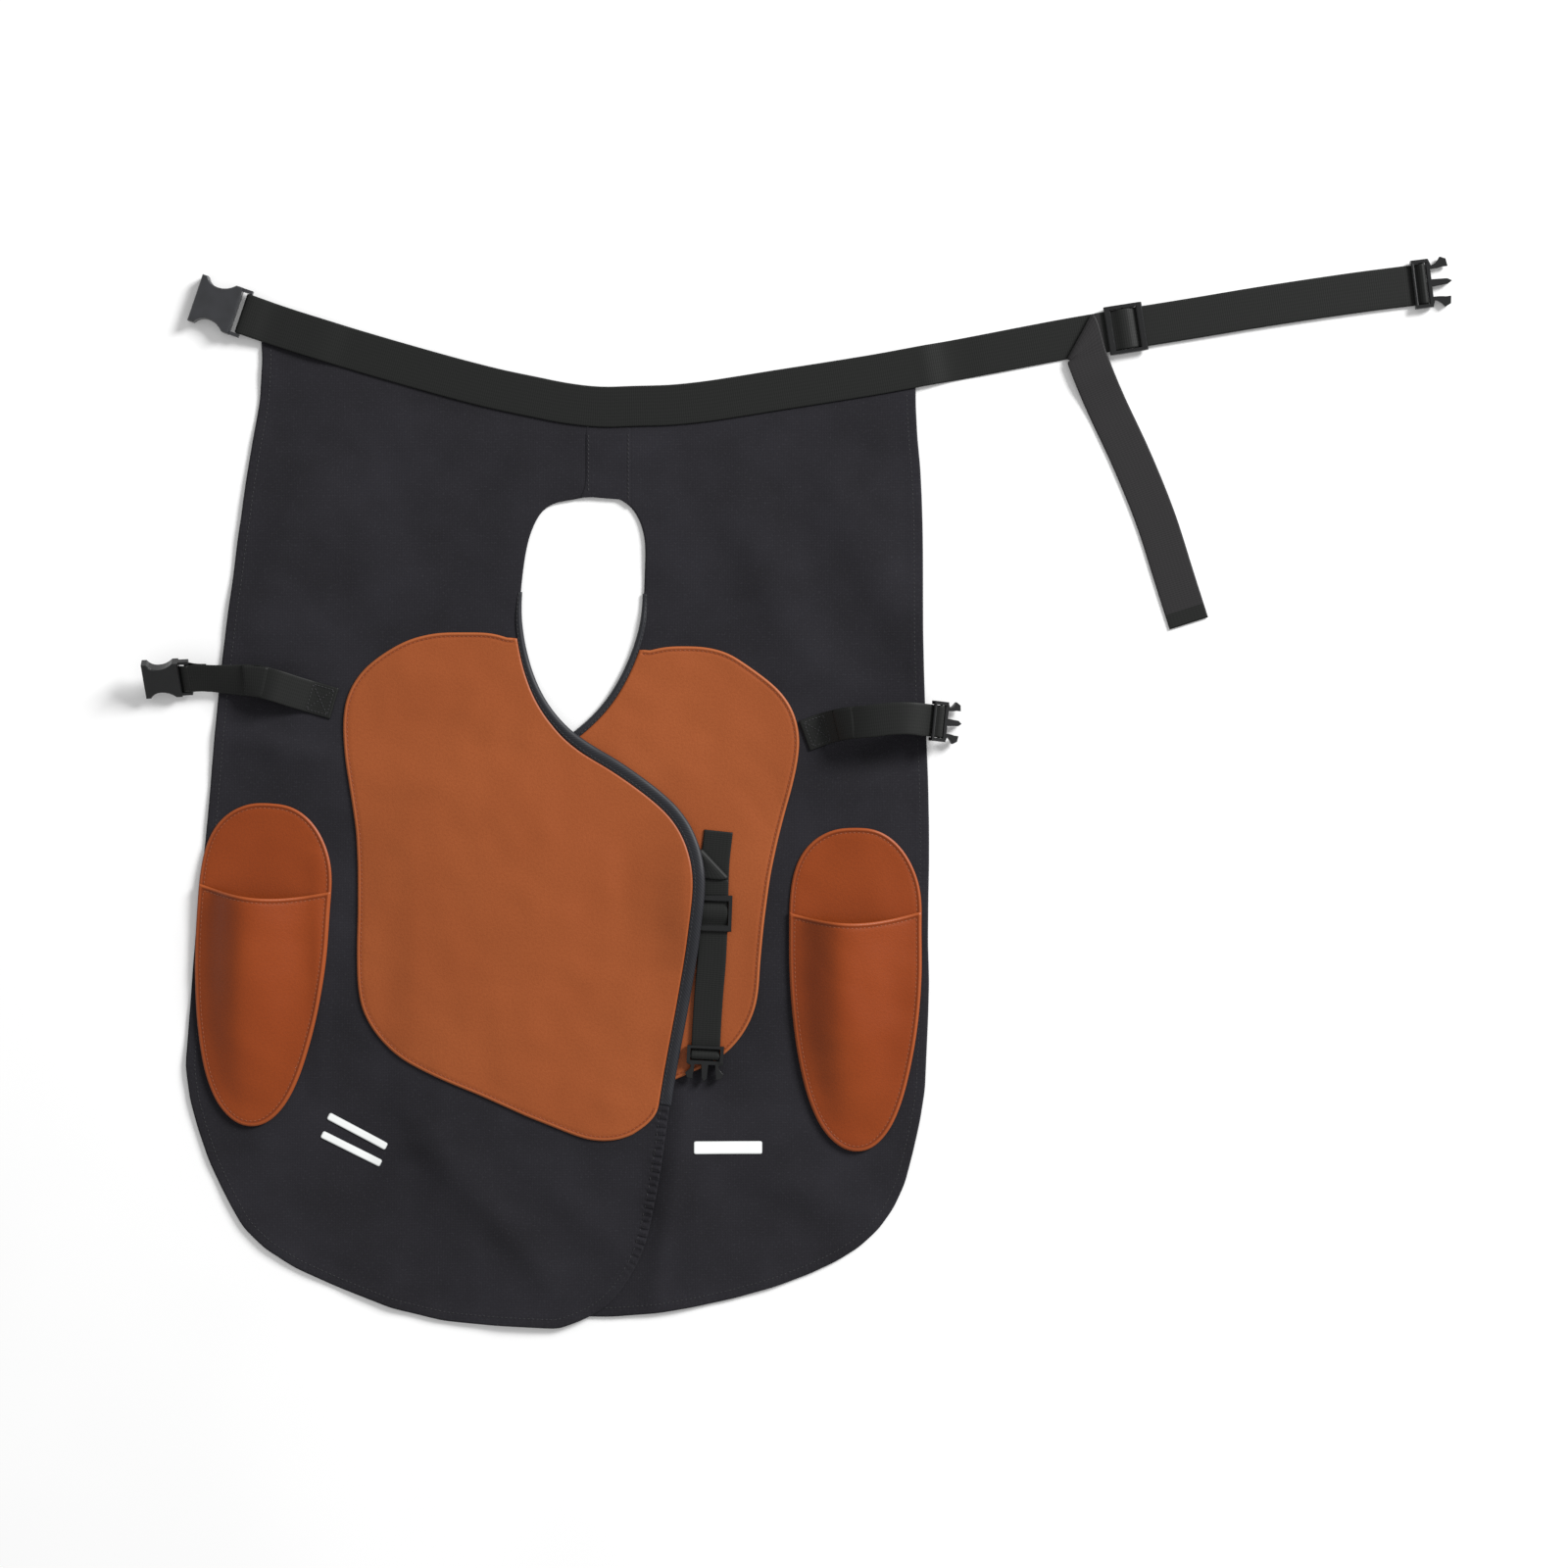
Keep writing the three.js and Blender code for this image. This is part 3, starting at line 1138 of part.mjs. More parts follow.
addMesh('inner_strap', strap(innerRungs()), 'webbing');
const innerSliderPlace = innerLine.at(innerSliderAt);
placeAlong(
  addMesh('inner_slider', sliderGeometry(INNER_WEBBING, SLIDER_INNER_LENGTH), 'plastic'),
  innerSliderPlace.point, innerSliderPlace.tangent, innerBase,
);
const innerPlugPlace = innerLine.at(innerEnd);
placeAlong(
  addMesh('inner_buckle_plug', plugGeometry(INNER_WEBBING, PLUG_LEG_REACH), 'plastic'),
  innerPlugPlace.point, innerPlugPlace.tangent, innerBase,
);

// White strips with round ends
for (const { name, across, down, turn, length, width } of STRIPS) {
  const outline = new THREE.Shape();
  const straight = (length - width) / 2;
  outline.absarc(straight, 0, width / 2, -Math.PI / 2, Math.PI / 2, false);
  outline.absarc(-straight, 0, width / 2, Math.PI / 2, Math.PI * 1.5, false);
  const geometry = new THREE.ExtrudeGeometry(outline, { depth: STRIP, bevelEnabled: false, curveSegments: 4 });
  const mesh = addMesh(name, geometry, 'strip');
  mesh.position.set(across * PANEL_REACH, -down * PANEL_DROP, ON_CANVAS);
  mesh.rotation.z = THREE.MathUtils.degToRad(turn);
}

// The origin is under the middle of the whole apron
const whole = new THREE.Box3().setFromObject(apron, true);
const middle = whole.getCenter(vector(0, 0));
apron.position.set(-middle.x, -middle.y, -whole.min.z);

export default apron;
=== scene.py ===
"""Looks of the farrier apron: cloth, leather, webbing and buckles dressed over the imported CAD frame.

The apron lies flat. Every soft piece takes its outline and its height from its own CAD node, so it
stays where that node is, and a shared relief gives all the layers of a panel the same soft folds.
"""

import logging
import math
from collections.abc import Callable, Sequence
from dataclasses import dataclass, field
from enum import Enum
from itertools import permutations

import bmesh
import bpy
import numpy as np
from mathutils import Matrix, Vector, noise
from mathutils.bvhtree import BVHTree
from mathutils.geometry import delaunay_2d_cdt


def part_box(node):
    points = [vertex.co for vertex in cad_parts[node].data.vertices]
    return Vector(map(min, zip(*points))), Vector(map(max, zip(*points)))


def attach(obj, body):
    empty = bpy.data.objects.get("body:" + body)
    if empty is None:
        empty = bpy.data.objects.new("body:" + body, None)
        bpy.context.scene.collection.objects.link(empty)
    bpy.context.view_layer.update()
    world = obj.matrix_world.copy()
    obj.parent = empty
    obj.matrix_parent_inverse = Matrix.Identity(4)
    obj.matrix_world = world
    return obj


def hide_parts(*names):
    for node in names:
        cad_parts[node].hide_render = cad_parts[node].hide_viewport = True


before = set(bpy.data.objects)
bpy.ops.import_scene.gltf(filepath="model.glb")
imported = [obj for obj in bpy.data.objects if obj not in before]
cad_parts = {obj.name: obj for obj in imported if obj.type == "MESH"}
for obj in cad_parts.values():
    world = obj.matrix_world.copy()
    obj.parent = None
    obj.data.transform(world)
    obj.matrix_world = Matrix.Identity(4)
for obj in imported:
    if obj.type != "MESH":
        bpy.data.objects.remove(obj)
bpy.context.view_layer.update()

log = logging.getLogger("farrier_apron")
MM = 0.001
PHOTO_WIDTH_PX = 1600
PHOTO_MM_PER_PX = 0.92


class Slot(Enum):
    """Material slots of the record."""

    CANVAS = "canvas"
    TAPE = "tape"
    PATCH = "patch_leather"
    POCKET = "pocket_leather"
    WEBBING = "webbing"
    PLASTIC = "plastic"
    STRIP = "white_strip"


class Side(Enum):
    """The two leg panels, as they lie in plan."""

    LEFT = "left"
    RIGHT = "right"


def linear(hex_colour: str) -> tuple[float, float, float, float]:
    """Turns an sRGB hex colour into linear light.

    Args:
        hex_colour: Six hex digits, with or without a leading #.

    Returns:
        Red, green, blue and an alpha of 1, linear.
    """
    # The constants of the sRGB curve: a straight toe, then a power
    toe_end, toe_slope, offset, power = 0.04045, 12.92, 0.055, 2.4
    digits = hex_colour.lstrip("#")
    channels = [int(digits[at : at + 2], 16) / 255 for at in (0, 2, 4)]
    lit = [c / toe_slope if c <= toe_end else ((c + offset) / (1 + offset)) ** power for c in channels]
    return (lit[0], lit[1], lit[2], 1.0)


def soft_step(value: np.ndarray, start: float, end: float) -> np.ndarray:
    """Goes from 0 at start to 1 at end, soft at both.

    Args:
        value: Where to read the step.
        start: Where it leaves 0.
        end: Where it reaches 1.

    Returns:
        The step at each value.
    """
    share = np.clip((value - start) / (end - start), 0.0, 1.0)
    return share * share * (3 - 2 * share)


# ---- materials

# Numbers of the Mix node's sockets, which share their names
MIX_FACTOR, MIX_FIRST_VALUE, MIX_SECOND_VALUE, MIX_FIRST, MIX_SECOND = 0, 2, 3, 6, 7
MIX_VALUE, MIX_COLOUR = 0, 2
# The scale at which a wave texture repeats once in a unit
ONE_BAND = math.pi / 10


def add_node(
    material: bpy.types.Material,
    kind: str,
    settings: dict[str | int, object] | None = None,
    links: dict[str | int, bpy.types.NodeSocket] | None = None,
) -> bpy.types.Node:
    """Adds a shader node with its settings and links.

    Args:
        material: The material whose tree takes the node.
        kind: The node's Blender type name.
        settings: Values by socket name or number, or by the node's own property name.
        links: Output sockets to join to its inputs, by socket name or number.

    Returns:
        The new node.
    """
    node = material.node_tree.nodes.new(kind)
    for name, value in (settings or {}).items():
        if isinstance(name, str) and name not in node.inputs:
            setattr(node, name, value)
        else:
            node.inputs[name].default_value = value
    for name, socket in (links or {}).items():
        material.node_tree.links.new(socket, node.inputs[name])
    return node


def scaled_uv(material: bpy.types.Material, layer: str, scale: Sequence[float]) -> bpy.types.NodeSocket:
    """Gives a UV layer, which is in metres, times a scale on each axis.

    Args:
        material: The material that reads the layer.
        layer: The UV layer's name.
        scale: Repeats per metre along U and along V.

    Returns:
        The scaled coordinate.
    """
    uv = add_node(material, "ShaderNodeUVMap", {"uv_map": layer})
    scaled = add_node(
        material,
        "ShaderNodeVectorMath",
        {"operation": "MULTIPLY", 1: (scale[0], scale[1], 1.0)},
        {0: uv.outputs["UV"]},
    )
    return scaled.outputs["Vector"]


@dataclass(frozen=True)
class Finish:
    """What every finish shares: one Principled shader with a colour and, where it has one, a relief."""

    name: str

    def shader(self) -> dict[str | int, object]:
        """Gives the constants set on the shader's own sockets."""
        return {}

    def colour(self, material: bpy.types.Material) -> bpy.types.NodeSocket:
        """Builds the base colour, which each finish does in its own way."""
        raise NotImplementedError

    def normal(self, material: bpy.types.Material) -> bpy.types.NodeSocket | None:
        """Builds the bumped normal, or nothing where the surface is plain."""
        return None

    def make(self) -> bpy.types.Material:
        """Builds the material.

        Returns:
            The new material.
        """
        material = bpy.data.materials.new(self.name)
        material.use_nodes = True
        material.node_tree.nodes.clear()
        links = {"Base Color": self.colour(material)}
        relief = self.normal(material)
        if relief:
            links["Normal"] = relief
        shader = add_node(material, "ShaderNodeBsdfPrincipled", self.shader(), links)
        add_node(material, "ShaderNodeOutputMaterial", links={"Surface": shader.outputs["BSDF"]})
        return material


@dataclass(frozen=True)
class DyedDuckCanvas(Finish):
    """Cotton duck canvas, plain woven and dyed near black, faded a little where it was handled.

    The eye sees a dark, dead matte cloth with a fine grain of paler fibres and cloudy wash marks.
    """

    name: str = "dyed_duck_canvas"
    dye: str = "#222125"
    worn: str = "#29282d"
    fibre: str = "#3d3d42"
    # The real threads are 0.6 mm apart: drawn coarser, so that the weave shows at all
    thread_mm: float = 1.5
    thread_relief_mm: float = 0.25
    wash_mm: float = 90.0
    wash_from: float = 0.36
    wash_to: float = 0.7
    grain_mm: float = 2.2
    fleck_from: float = 0.55
    fleck_to: float = 0.8
    fleck_share: float = 0.5

    def shader(self) -> dict[str | int, object]:
        """Gives the shader's constants: dry cloth, with a trace of lint."""
        look = {"Roughness": 0.9, "IOR": 1.5, "Specular IOR Level": 0.15}
        return {**look, "Sheen Weight": 0.03, "Sheen Roughness": 0.5}

    def weave(self, material: bpy.types.Material) -> bpy.types.NodeSocket:
        """Builds the height of the plain weave.

        Args:
            material: The material whose tree takes the nodes.

        Returns:
            The height, from 0 to 1.
        """
        per_metre = 1 / (self.thread_mm * MM)
        at = scaled_uv(material, "flat", (per_metre, per_metre))
        uneven = {"Scale": ONE_BAND, "Distortion": 0.6, "Detail": 1.0, "Detail Scale": 0.15}
        bands = {}
        for number, direction in enumerate("XY"):
            bands[number] = add_node(
                material,
                "ShaderNodeTexWave",
                {"wave_type": "BANDS", "bands_direction": direction, **uneven},
                {"Vector": at},
            ).outputs["Fac"]
        return add_node(material, "ShaderNodeMath", {"operation": "MULTIPLY"}, bands).outputs[0]

    def colour(self, material: bpy.types.Material) -> bpy.types.NodeSocket:
        """Builds the dyed colour with its wash marks and pale fibres.

        Args:
            material: The material whose tree takes the nodes.

        Returns:
            The colour.
        """
        at = {"Vector": scaled_uv(material, "flat", (1, 1))}
        marks = {"Scale": 1 / (self.wash_mm * MM), "Detail": 3.0, "Roughness": 0.55}
        clouds = add_node(material, "ShaderNodeTexNoise", marks, at)
        wash = add_node(material, "ShaderNodeValToRGB", links={"Fac": clouds.outputs["Fac"]})
        stops = ((self.wash_from, self.dye), (self.wash_to, self.worn))
        for element, (position, shade) in zip(wash.color_ramp.elements, stops):
            element.position = position
            element.color = linear(shade)
        fibres = {"Scale": 1 / (self.grain_mm * MM), "Detail": 2.0, "Roughness": 0.7}
        grain = add_node(material, "ShaderNodeTexNoise", fibres, at)
        fleck = add_node(
            material,
            "ShaderNodeMapRange",
            {"From Min": self.fleck_from, "From Max": self.fleck_to, "To Max": self.fleck_share},
            {"Value": grain.outputs["Fac"]},
        )
        mixed = add_node(
            material,
            "ShaderNodeMix",
            {"data_type": "RGBA", MIX_SECOND: linear(self.fibre)},
            {MIX_FACTOR: fleck.outputs["Result"], MIX_FIRST: wash.outputs["Color"]},
        )
        return mixed.outputs[MIX_COLOUR]

    def normal(self, material: bpy.types.Material) -> bpy.types.NodeSocket:
        """Builds the relief of the threads.

        Args:
            material: The material whose tree takes the nodes.

        Returns:
            The bumped normal.
        """
        relief = {"Strength": 0.5, "Distance": self.thread_relief_mm * MM}
        bump = add_node(material, "ShaderNodeBump", relief, {"Height": self.weave(material)})
        return bump.outputs["Normal"]


@dataclass(frozen=True)
class WovenBindingTape(Finish):
    """Polyester twill tape, folded round a raw edge and sewn down.

    The eye sees a smoother, slightly greyer band than the canvas, with a soft glint on its crown.
    The tops of its diagonal ribs are painted paler, a painted highlight.
    """

    name: str = "woven_binding_tape"
    yarn: str = "#1f2024"
    # crown: a painted highlight on the rib tops; yarn is the colour between the ribs
    crown: str = "#2c2d32"
    twill_mm: float = 1.6

    def shader(self) -> dict[str | int, object]:
        """Gives the shader's constants: smooth yarn."""
        look = {"Roughness": 0.5, "IOR": 1.5, "Specular IOR Level": 0.28}
        return {**look, "Sheen Weight": 0.02, "Sheen Roughness": 0.4}

    def colour(self, material: bpy.types.Material) -> bpy.types.NodeSocket:
        """Builds the tape's colour, with a painted highlight where its diagonal ribs stand up.

        Args:
            material: The material whose tree takes the nodes.

        Returns:
            The colour.
        """
        per_metre = 1 / (self.twill_mm * MM)
        wave = add_node(
            material,
            "ShaderNodeTexWave",
            {"wave_type": "BANDS", "bands_direction": "DIAGONAL", "Scale": ONE_BAND, "Distortion": 0.5},
            {"Vector": scaled_uv(material, "strap", (per_metre, per_metre))},
        )
        # Painted highlight on the tops of the diagonal ribs
        mixed = add_node(
            material,
            "ShaderNodeMix",
            {"data_type": "RGBA", MIX_FIRST: linear(self.yarn), MIX_SECOND: linear(self.crown)},
            {MIX_FACTOR: wave.outputs["Fac"]},
        )
        return mixed.outputs[MIX_COLOUR]


@dataclass(frozen=True)
class CoatedSplitLeather(Finish):
    """Split cowhide with a smooth pigmented coat, rolled to a fine grain.

    The eye sees an even tan brown with a soft sheen, faint pebbling and slow shifts of tone. The
    turned edge is painted paler, partly a coat stretched paler and partly a painted highlight on its
    bead, and the stitch groove beside it is painted redder and darker as painted shade.
    """

    coat: str
    deep: str
    # edge: paler, partly a painted highlight on the bead. groove: painted shade in the stitch groove, and
    # the pores' colour
    edge: str
    groove: str
    roughness: float = 0.46
    # Real pebbles are about 0.7 mm: drawn coarser, so that the grain shows
    pebble_mm: float = 1.3
    pebble_relief_mm: float = 0.15
    pore_mm: float = 2.4
    pore_share: float = 0.35
    tone_mm: float = 130.0
    edge_mm: float = 2.4
    edge_blend: float = 0.7
    groove_mm: float = 3.6
    groove_half_mm: float = 0.8

    def shader(self) -> dict[str | int, object]:
        """Gives the shader's constants: a thin satin coat."""
        return {"Roughness": self.roughness, "IOR": 1.48, "Specular IOR Level": 0.28}

    def colour(self, material: bpy.types.Material) -> bpy.types.NodeSocket:
        """Builds the coat's colour, its pores, its edge highlight and its groove shade, both painted.

        Args:
            material: The material whose tree takes the nodes.

        Returns:
            The colour.
        """
        at = {"Vector": scaled_uv(material, "flat", (1, 1))}
        slow = {"Scale": 1 / (self.tone_mm * MM), "Detail": 2.0, "Roughness": 0.5}
        tones = add_node(material, "ShaderNodeTexNoise", slow, at)
        tone = add_node(
            material,
            "ShaderNodeMapRange",
            {"From Min": 0.35, "From Max": 0.65},
            {"Value": tones.outputs["Fac"]},
        )
        body = add_node(
            material,
            "ShaderNodeMix",
            {"data_type": "RGBA", MIX_FIRST: linear(self.deep), MIX_SECOND: linear(self.coat)},
            {MIX_FACTOR: tone.outputs["Result"]},
        )
        fine = {"Scale": 1 / (self.pore_mm * MM), "Detail": 2.0, "Roughness": 0.7}
        pores = add_node(material, "ShaderNodeTexNoise", fine, at)
        pore = add_node(
            material,
            "ShaderNodeMapRange",
            {"From Min": 0.4, "From Max": 0.7, "To Min": 0.0, "To Max": self.pore_share},
            {"Value": pores.outputs["Fac"]},
        )
        uv = add_node(material, "ShaderNodeUVMap", {"uv_map": "edge"})
        away = add_node(material, "ShaderNodeSeparateXYZ", links={"Vector": uv.outputs["UV"]}).outputs["Y"]
        # The paler edge: partly a coat stretched paler, partly a painted highlight on the bead
        start, end = self.edge_mm * self.edge_blend * MM, self.edge_mm * MM
        edge = add_node(
            material,
            "ShaderNodeMapRange",
            {"From Min": start, "From Max": end, "To Min": 1.0, "To Max": 0.0},
            {"Value": away},
        )
        # Painted shade: the stitch groove is drawn darker and redder
        groove = add_node(
            material,
            "ShaderNodeMath",
            {"operation": "COMPARE", 1: self.groove_mm * MM, 2: self.groove_half_mm * MM},
            {0: away},
        )
        layers = (
            (self.groove, pore.outputs["Result"]),
            (self.edge, edge.outputs["Result"]),
            (self.groove, groove.outputs[0]),
        )
        for shade, share in layers:
            body = add_node(
                material,
                "ShaderNodeMix",
                {"data_type": "RGBA", MIX_SECOND: linear(shade)},
                {MIX_FACTOR: share, MIX_FIRST: body.outputs[MIX_COLOUR]},
            )
        return body.outputs[MIX_COLOUR]

    def normal(self, material: bpy.types.Material) -> bpy.types.NodeSocket:
        """Builds the relief of the rolled grain.

        Args:
            material: The material whose tree takes the nodes.

        Returns:
            The bumped normal.
        """
        cells = add_node(
            material,
            "ShaderNodeTexVoronoi",
            {"feature": "SMOOTH_F1", "Scale": 1 / (self.pebble_mm * MM), "Smoothness": 0.6},
            {"Vector": scaled_uv(material, "flat", (1, 1))},
        )
        relief = {"Strength": 0.6, "Distance": self.pebble_relief_mm * MM}
        bump = add_node(material, "ShaderNodeBump", relief, {"Height": cells.outputs["Distance"]})
        return bump.outputs["Normal"]


@dataclass(frozen=True)
class RibbedWebbing(Finish):
    """Polypropylene webbing, woven in narrow ribs.

    The eye sees a flat near-black band with fine crosswise ribs and a faint oily sheen. Between
    the ribs it is painted darker, a painted shade.
    """

    name: str = "ribbed_webbing"
    # rib is the yarn's colour; gap is painted shade between the ribs
    rib: str = "#232423"
    gap: str = "#1b1c1b"
    # Real ribs are about 1 mm: drawn coarser, so that they show
    rib_mm: float = 2.0
    rib_relief_mm: float = 0.2
    cord_mm: float = 3.2
    cord_share: float = 0.3

    def shader(self) -> dict[str | int, object]:
        """Gives the shader's constants: smooth yarn, packed flat."""
        return {"Roughness": 0.5, "IOR": 1.49, "Specular IOR Level": 0.17}

    def ribs(self, material: bpy.types.Material) -> bpy.types.NodeSocket:
        """Builds the height of the ribs, crossed by fainter cords.

        Args:
            material: The material whose tree takes the nodes.

        Returns:
            The height, from 0 to 1.
        """
        at = scaled_uv(material, "strap", (1 / (self.cord_mm * MM), 1 / (self.rib_mm * MM)))
        bands = {}
        for socket, direction, amount in ((MIX_FIRST_VALUE, "Y", 0.3), (MIX_SECOND_VALUE, "X", 0.1)):
            band = {"bands_direction": direction, "Scale": ONE_BAND, "Distortion": amount}
            wave = add_node(
                material, "ShaderNodeTexWave", {"wave_type": "BANDS", **band}, {"Vector": at}
            )
            bands[socket] = wave.outputs["Fac"]
        blend = {"data_type": "FLOAT", MIX_FACTOR: self.cord_share}
        return add_node(material, "ShaderNodeMix", blend, bands).outputs[MIX_VALUE]

    def colour(self, material: bpy.types.Material) -> bpy.types.NodeSocket:
        """Builds the yarn's colour, with painted shade between the ribs.

        Args:
            material: The material whose tree takes the nodes.

        Returns:
            The colour.
        """
        # Painted shade between the ribs
        shades = {"data_type": "RGBA", MIX_FIRST: linear(self.gap), MIX_SECOND: linear(self.rib)}
        mixed = add_node(material, "ShaderNodeMix", shades, {MIX_FACTOR: self.ribs(material)})
        return mixed.outputs[MIX_COLOUR]

    def normal(self, material: bpy.types.Material) -> bpy.types.NodeSocket:
        """Builds the relief of the ribs.

        Args:
            material: The material whose tree takes the nodes.

        Returns:
            The bumped normal.
        """
        relief = {"Strength": 0.3, "Distance": self.rib_relief_mm * MM}
        bump = add_node(material, "ShaderNodeBump", relief, {"Height": self.ribs(material)})
        return bump.outputs["Normal"]


@dataclass(frozen=True)
class CloudedFinish(Finish):
    """A plain solid body whose colour shifts slowly between two shades, as cast or spun goods do."""

    first: str = "#000000"
    second: str = "#000000"
    cloud_scale: float = 5.0
    cloud_detail: float = 2.0

    def colour(self, material: bpy.types.Material) -> bpy.types.NodeSocket:
        """Builds the colour.

        Args:
            material: The material whose tree takes the nodes.

        Returns:
            The colour.
        """
        place = add_node(material, "ShaderNodeTexCoord")
        cloud = add_node(
            material,
            "ShaderNodeTexNoise",
            {"Scale": self.cloud_scale, "Detail": self.cloud_detail},
            {"Vector": place.outputs["Object"]},
        )
        mixed = add_node(
            material,
            "ShaderNodeMix",
            {"data_type": "RGBA", MIX_FIRST: linear(self.first), MIX_SECOND: linear(self.second)},
            {MIX_FACTOR: cloud.outputs["Fac"]},
        )
        return mixed.outputs[MIX_COLOUR]


@dataclass(frozen=True)
class MouldedAcetal(CloudedFinish):
    """Acetal, injection moulded in a lightly etched tool.

    The eye sees a clean black with soft grey highlights along its rounded edges.
    """

    name: str = "moulded_acetal"
    first: str = "#0f1011"
    second: str = "#151617"
    gloss: float = 0.5
    # Flow marks of the melt, 12 mm apart
    cloud_scale: float = 1 / (12 * MM)
    cloud_detail: float = 1.0
    etch_mm: float = 0.8
    etch_relief_mm: float = 0.05

    def shader(self) -> dict[str | int, object]:
        """Gives the shader's constants: smooth plastic."""
        return {"Roughness": 0.3, "IOR": 1.48, "Specular IOR Level": self.gloss}

    def normal(self, material: bpy.types.Material) -> bpy.types.NodeSocket:
        """Builds the fine etch of the tool.

        Args:
            material: The material whose tree takes the nodes.

        Returns:
            The bumped normal.
        """
        place = add_node(material, "ShaderNodeTexCoord")
        etch = add_node(
            material,
            "ShaderNodeTexNoise",
            {"Scale": 1 / (self.etch_mm * MM), "Detail": 2.0},
            {"Vector": place.outputs["Object"]},
        )
        relief = {"Strength": 0.25, "Distance": self.etch_relief_mm * MM}
        bump = add_node(material, "ShaderNodeBump", relief, {"Height": etch.outputs["Fac"]})
        return bump.outputs["Normal"]


@dataclass(frozen=True)
class CoatedWhiteTape(Finish):
    """Nylon tape with a soft white coat.

    The eye sees a plain bright white band, painted a touch grey along its edges as painted shade.
    """

    name: str = "coated_white_tape"
    coat: str = "#f6f8f7"
    # edge: painted shade along the sunk edge
    edge: str = "#c9cccb"
    edge_shade_from_mm: float = 0.2
    edge_shade_to_mm: float = 1.2

    def shader(self) -> dict[str | int, object]:
        """Gives the shader's constants: a soft coat."""
        return {"Roughness": 0.55, "IOR": 1.5, "Specular IOR Level": 0.3}

    def colour(self, material: bpy.types.Material) -> bpy.types.NodeSocket:
        """Builds the white coat, with painted shade greying it towards the edge.

        Args:
            material: The material whose tree takes the nodes.

        Returns:
            The colour.
        """
        uv = add_node(material, "ShaderNodeUVMap", {"uv_map": "edge"})
        away = add_node(material, "ShaderNodeSeparateXYZ", links={"Vector": uv.outputs["UV"]})
        start, end = self.edge_shade_from_mm * MM, self.edge_shade_to_mm * MM
        # Painted shade along the edge
        edge = add_node(
            material,
            "ShaderNodeMapRange",
            {"From Min": start, "From Max": end, "To Min": 1.0, "To Max": 0.0},
            {"Value": away.outputs["Y"]},
        )
        mixed = add_node(
            material,
            "ShaderNodeMix",
            {"data_type": "RGBA", MIX_FIRST: linear(self.coat), MIX_SECOND: linear(self.edge)},
            {MIX_FACTOR: edge.outputs["Result"]},
        )
        return mixed.outputs[MIX_COLOUR]


@dataclass(frozen=True)
class SewingThread(CloudedFinish):
    """Bonded nylon thread, pulled tight into small even stitches.

    The eye sees a dotted line, a shade off the ground that it is sewn in, broken up by the twist.
    """

    # The twist of the thread, 1.2 mm apart
    cloud_scale: float = 1 / (1.2 * MM)

    def shader(self) -> dict[str | int, object]:
        """Gives the shader's constants: waxed thread."""
        return {"Roughness": 0.6, "IOR": 1.53, "Sheen Weight": 0.1}


@dataclass(frozen=True)
class MattePaper(CloudedFinish):
    """Uncoated white paper, rolled out as a backdrop and lit a little from below.

    The eye sees plain white that swallows all but the softest shadows.
    """

    name: str = "matte_paper"
    first: str = "#f4f4f4"
    second: str = "#fdfdfd"
    cloud_scale: float = 3.0
    glow: float = 0.07

    def shader(self) -> dict[str | int, object]:
        """Gives the shader's constants: dead matte, with a faint glow."""
        light = {"Emission Color": (1.0, 1.0, 1.0, 1.0), "Emission Strength": self.glow}
        return {"Roughness": 1.0, "Specular IOR Level": 0.0, **light}


class Finishes:
    """Every material of the apron, made once."""

    def __init__(self) -> None:
        """Makes the materials."""
        self.canvas = DyedDuckCanvas().make()
        self.tape = WovenBindingTape().make()
        # In each leather, edge is partly a painted highlight on the bead and groove is painted shade in the
        # stitch groove
        self.patch = CoatedSplitLeather(
            "coated_split_leather_patch", coat="#9e5228", deep="#984d24", edge="#a65b31", groove="#863f19"
        ).make()
        self.pocket = CoatedSplitLeather(
            "coated_split_leather_pocket",
            coat="#8e3e12",
            deep="#88390f",
            edge="#9a4b22",
            groove="#78330f",
            roughness=0.42,
        ).make()
        self.webbing = RibbedWebbing().make()
        # A paler copy of the webbing, drawn on the belt's turned tail
        self.reverse = RibbedWebbing("ribbed_webbing_reverse", rib="#302f30", gap="#282728").make()
        self.plastic = MouldedAcetal().make()
        # For the waist socket: its lighter grey is a painted sheen, its higher gloss a real one
        self.painted_sheen = MouldedAcetal("moulded_acetal_painted_sheen", "#1b1c1f", "#2b2c31", gloss=0.9).make()
        self.strip = CoatedWhiteTape().make()
        self.tan_thread = SewingThread("bonded_nylon_thread_tan", "#85431e", "#984d24").make()
        self.dark_thread = SewingThread("bonded_nylon_thread_dark", "#1a1a1d", "#1f1f23").make()


# ---- shapes read from the CAD nodes


def welded(node: str) -> bmesh.types.BMesh:
    """Copies a CAD node's mesh in millimetres, with its split corners joined.

    Args:
        node: The CAD node's name.

    Returns:
        A new bmesh, which the caller frees.
    """
    mesh = bmesh.new()
    mesh.from_mesh(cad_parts[node].data)
    bmesh.ops.scale(mesh, vec=(1 / MM,) * 3, verts=mesh.verts[:])
    bmesh.ops.remove_doubles(mesh, verts=mesh.verts[:], dist=0.01)
    mesh.normal_update()
    return mesh


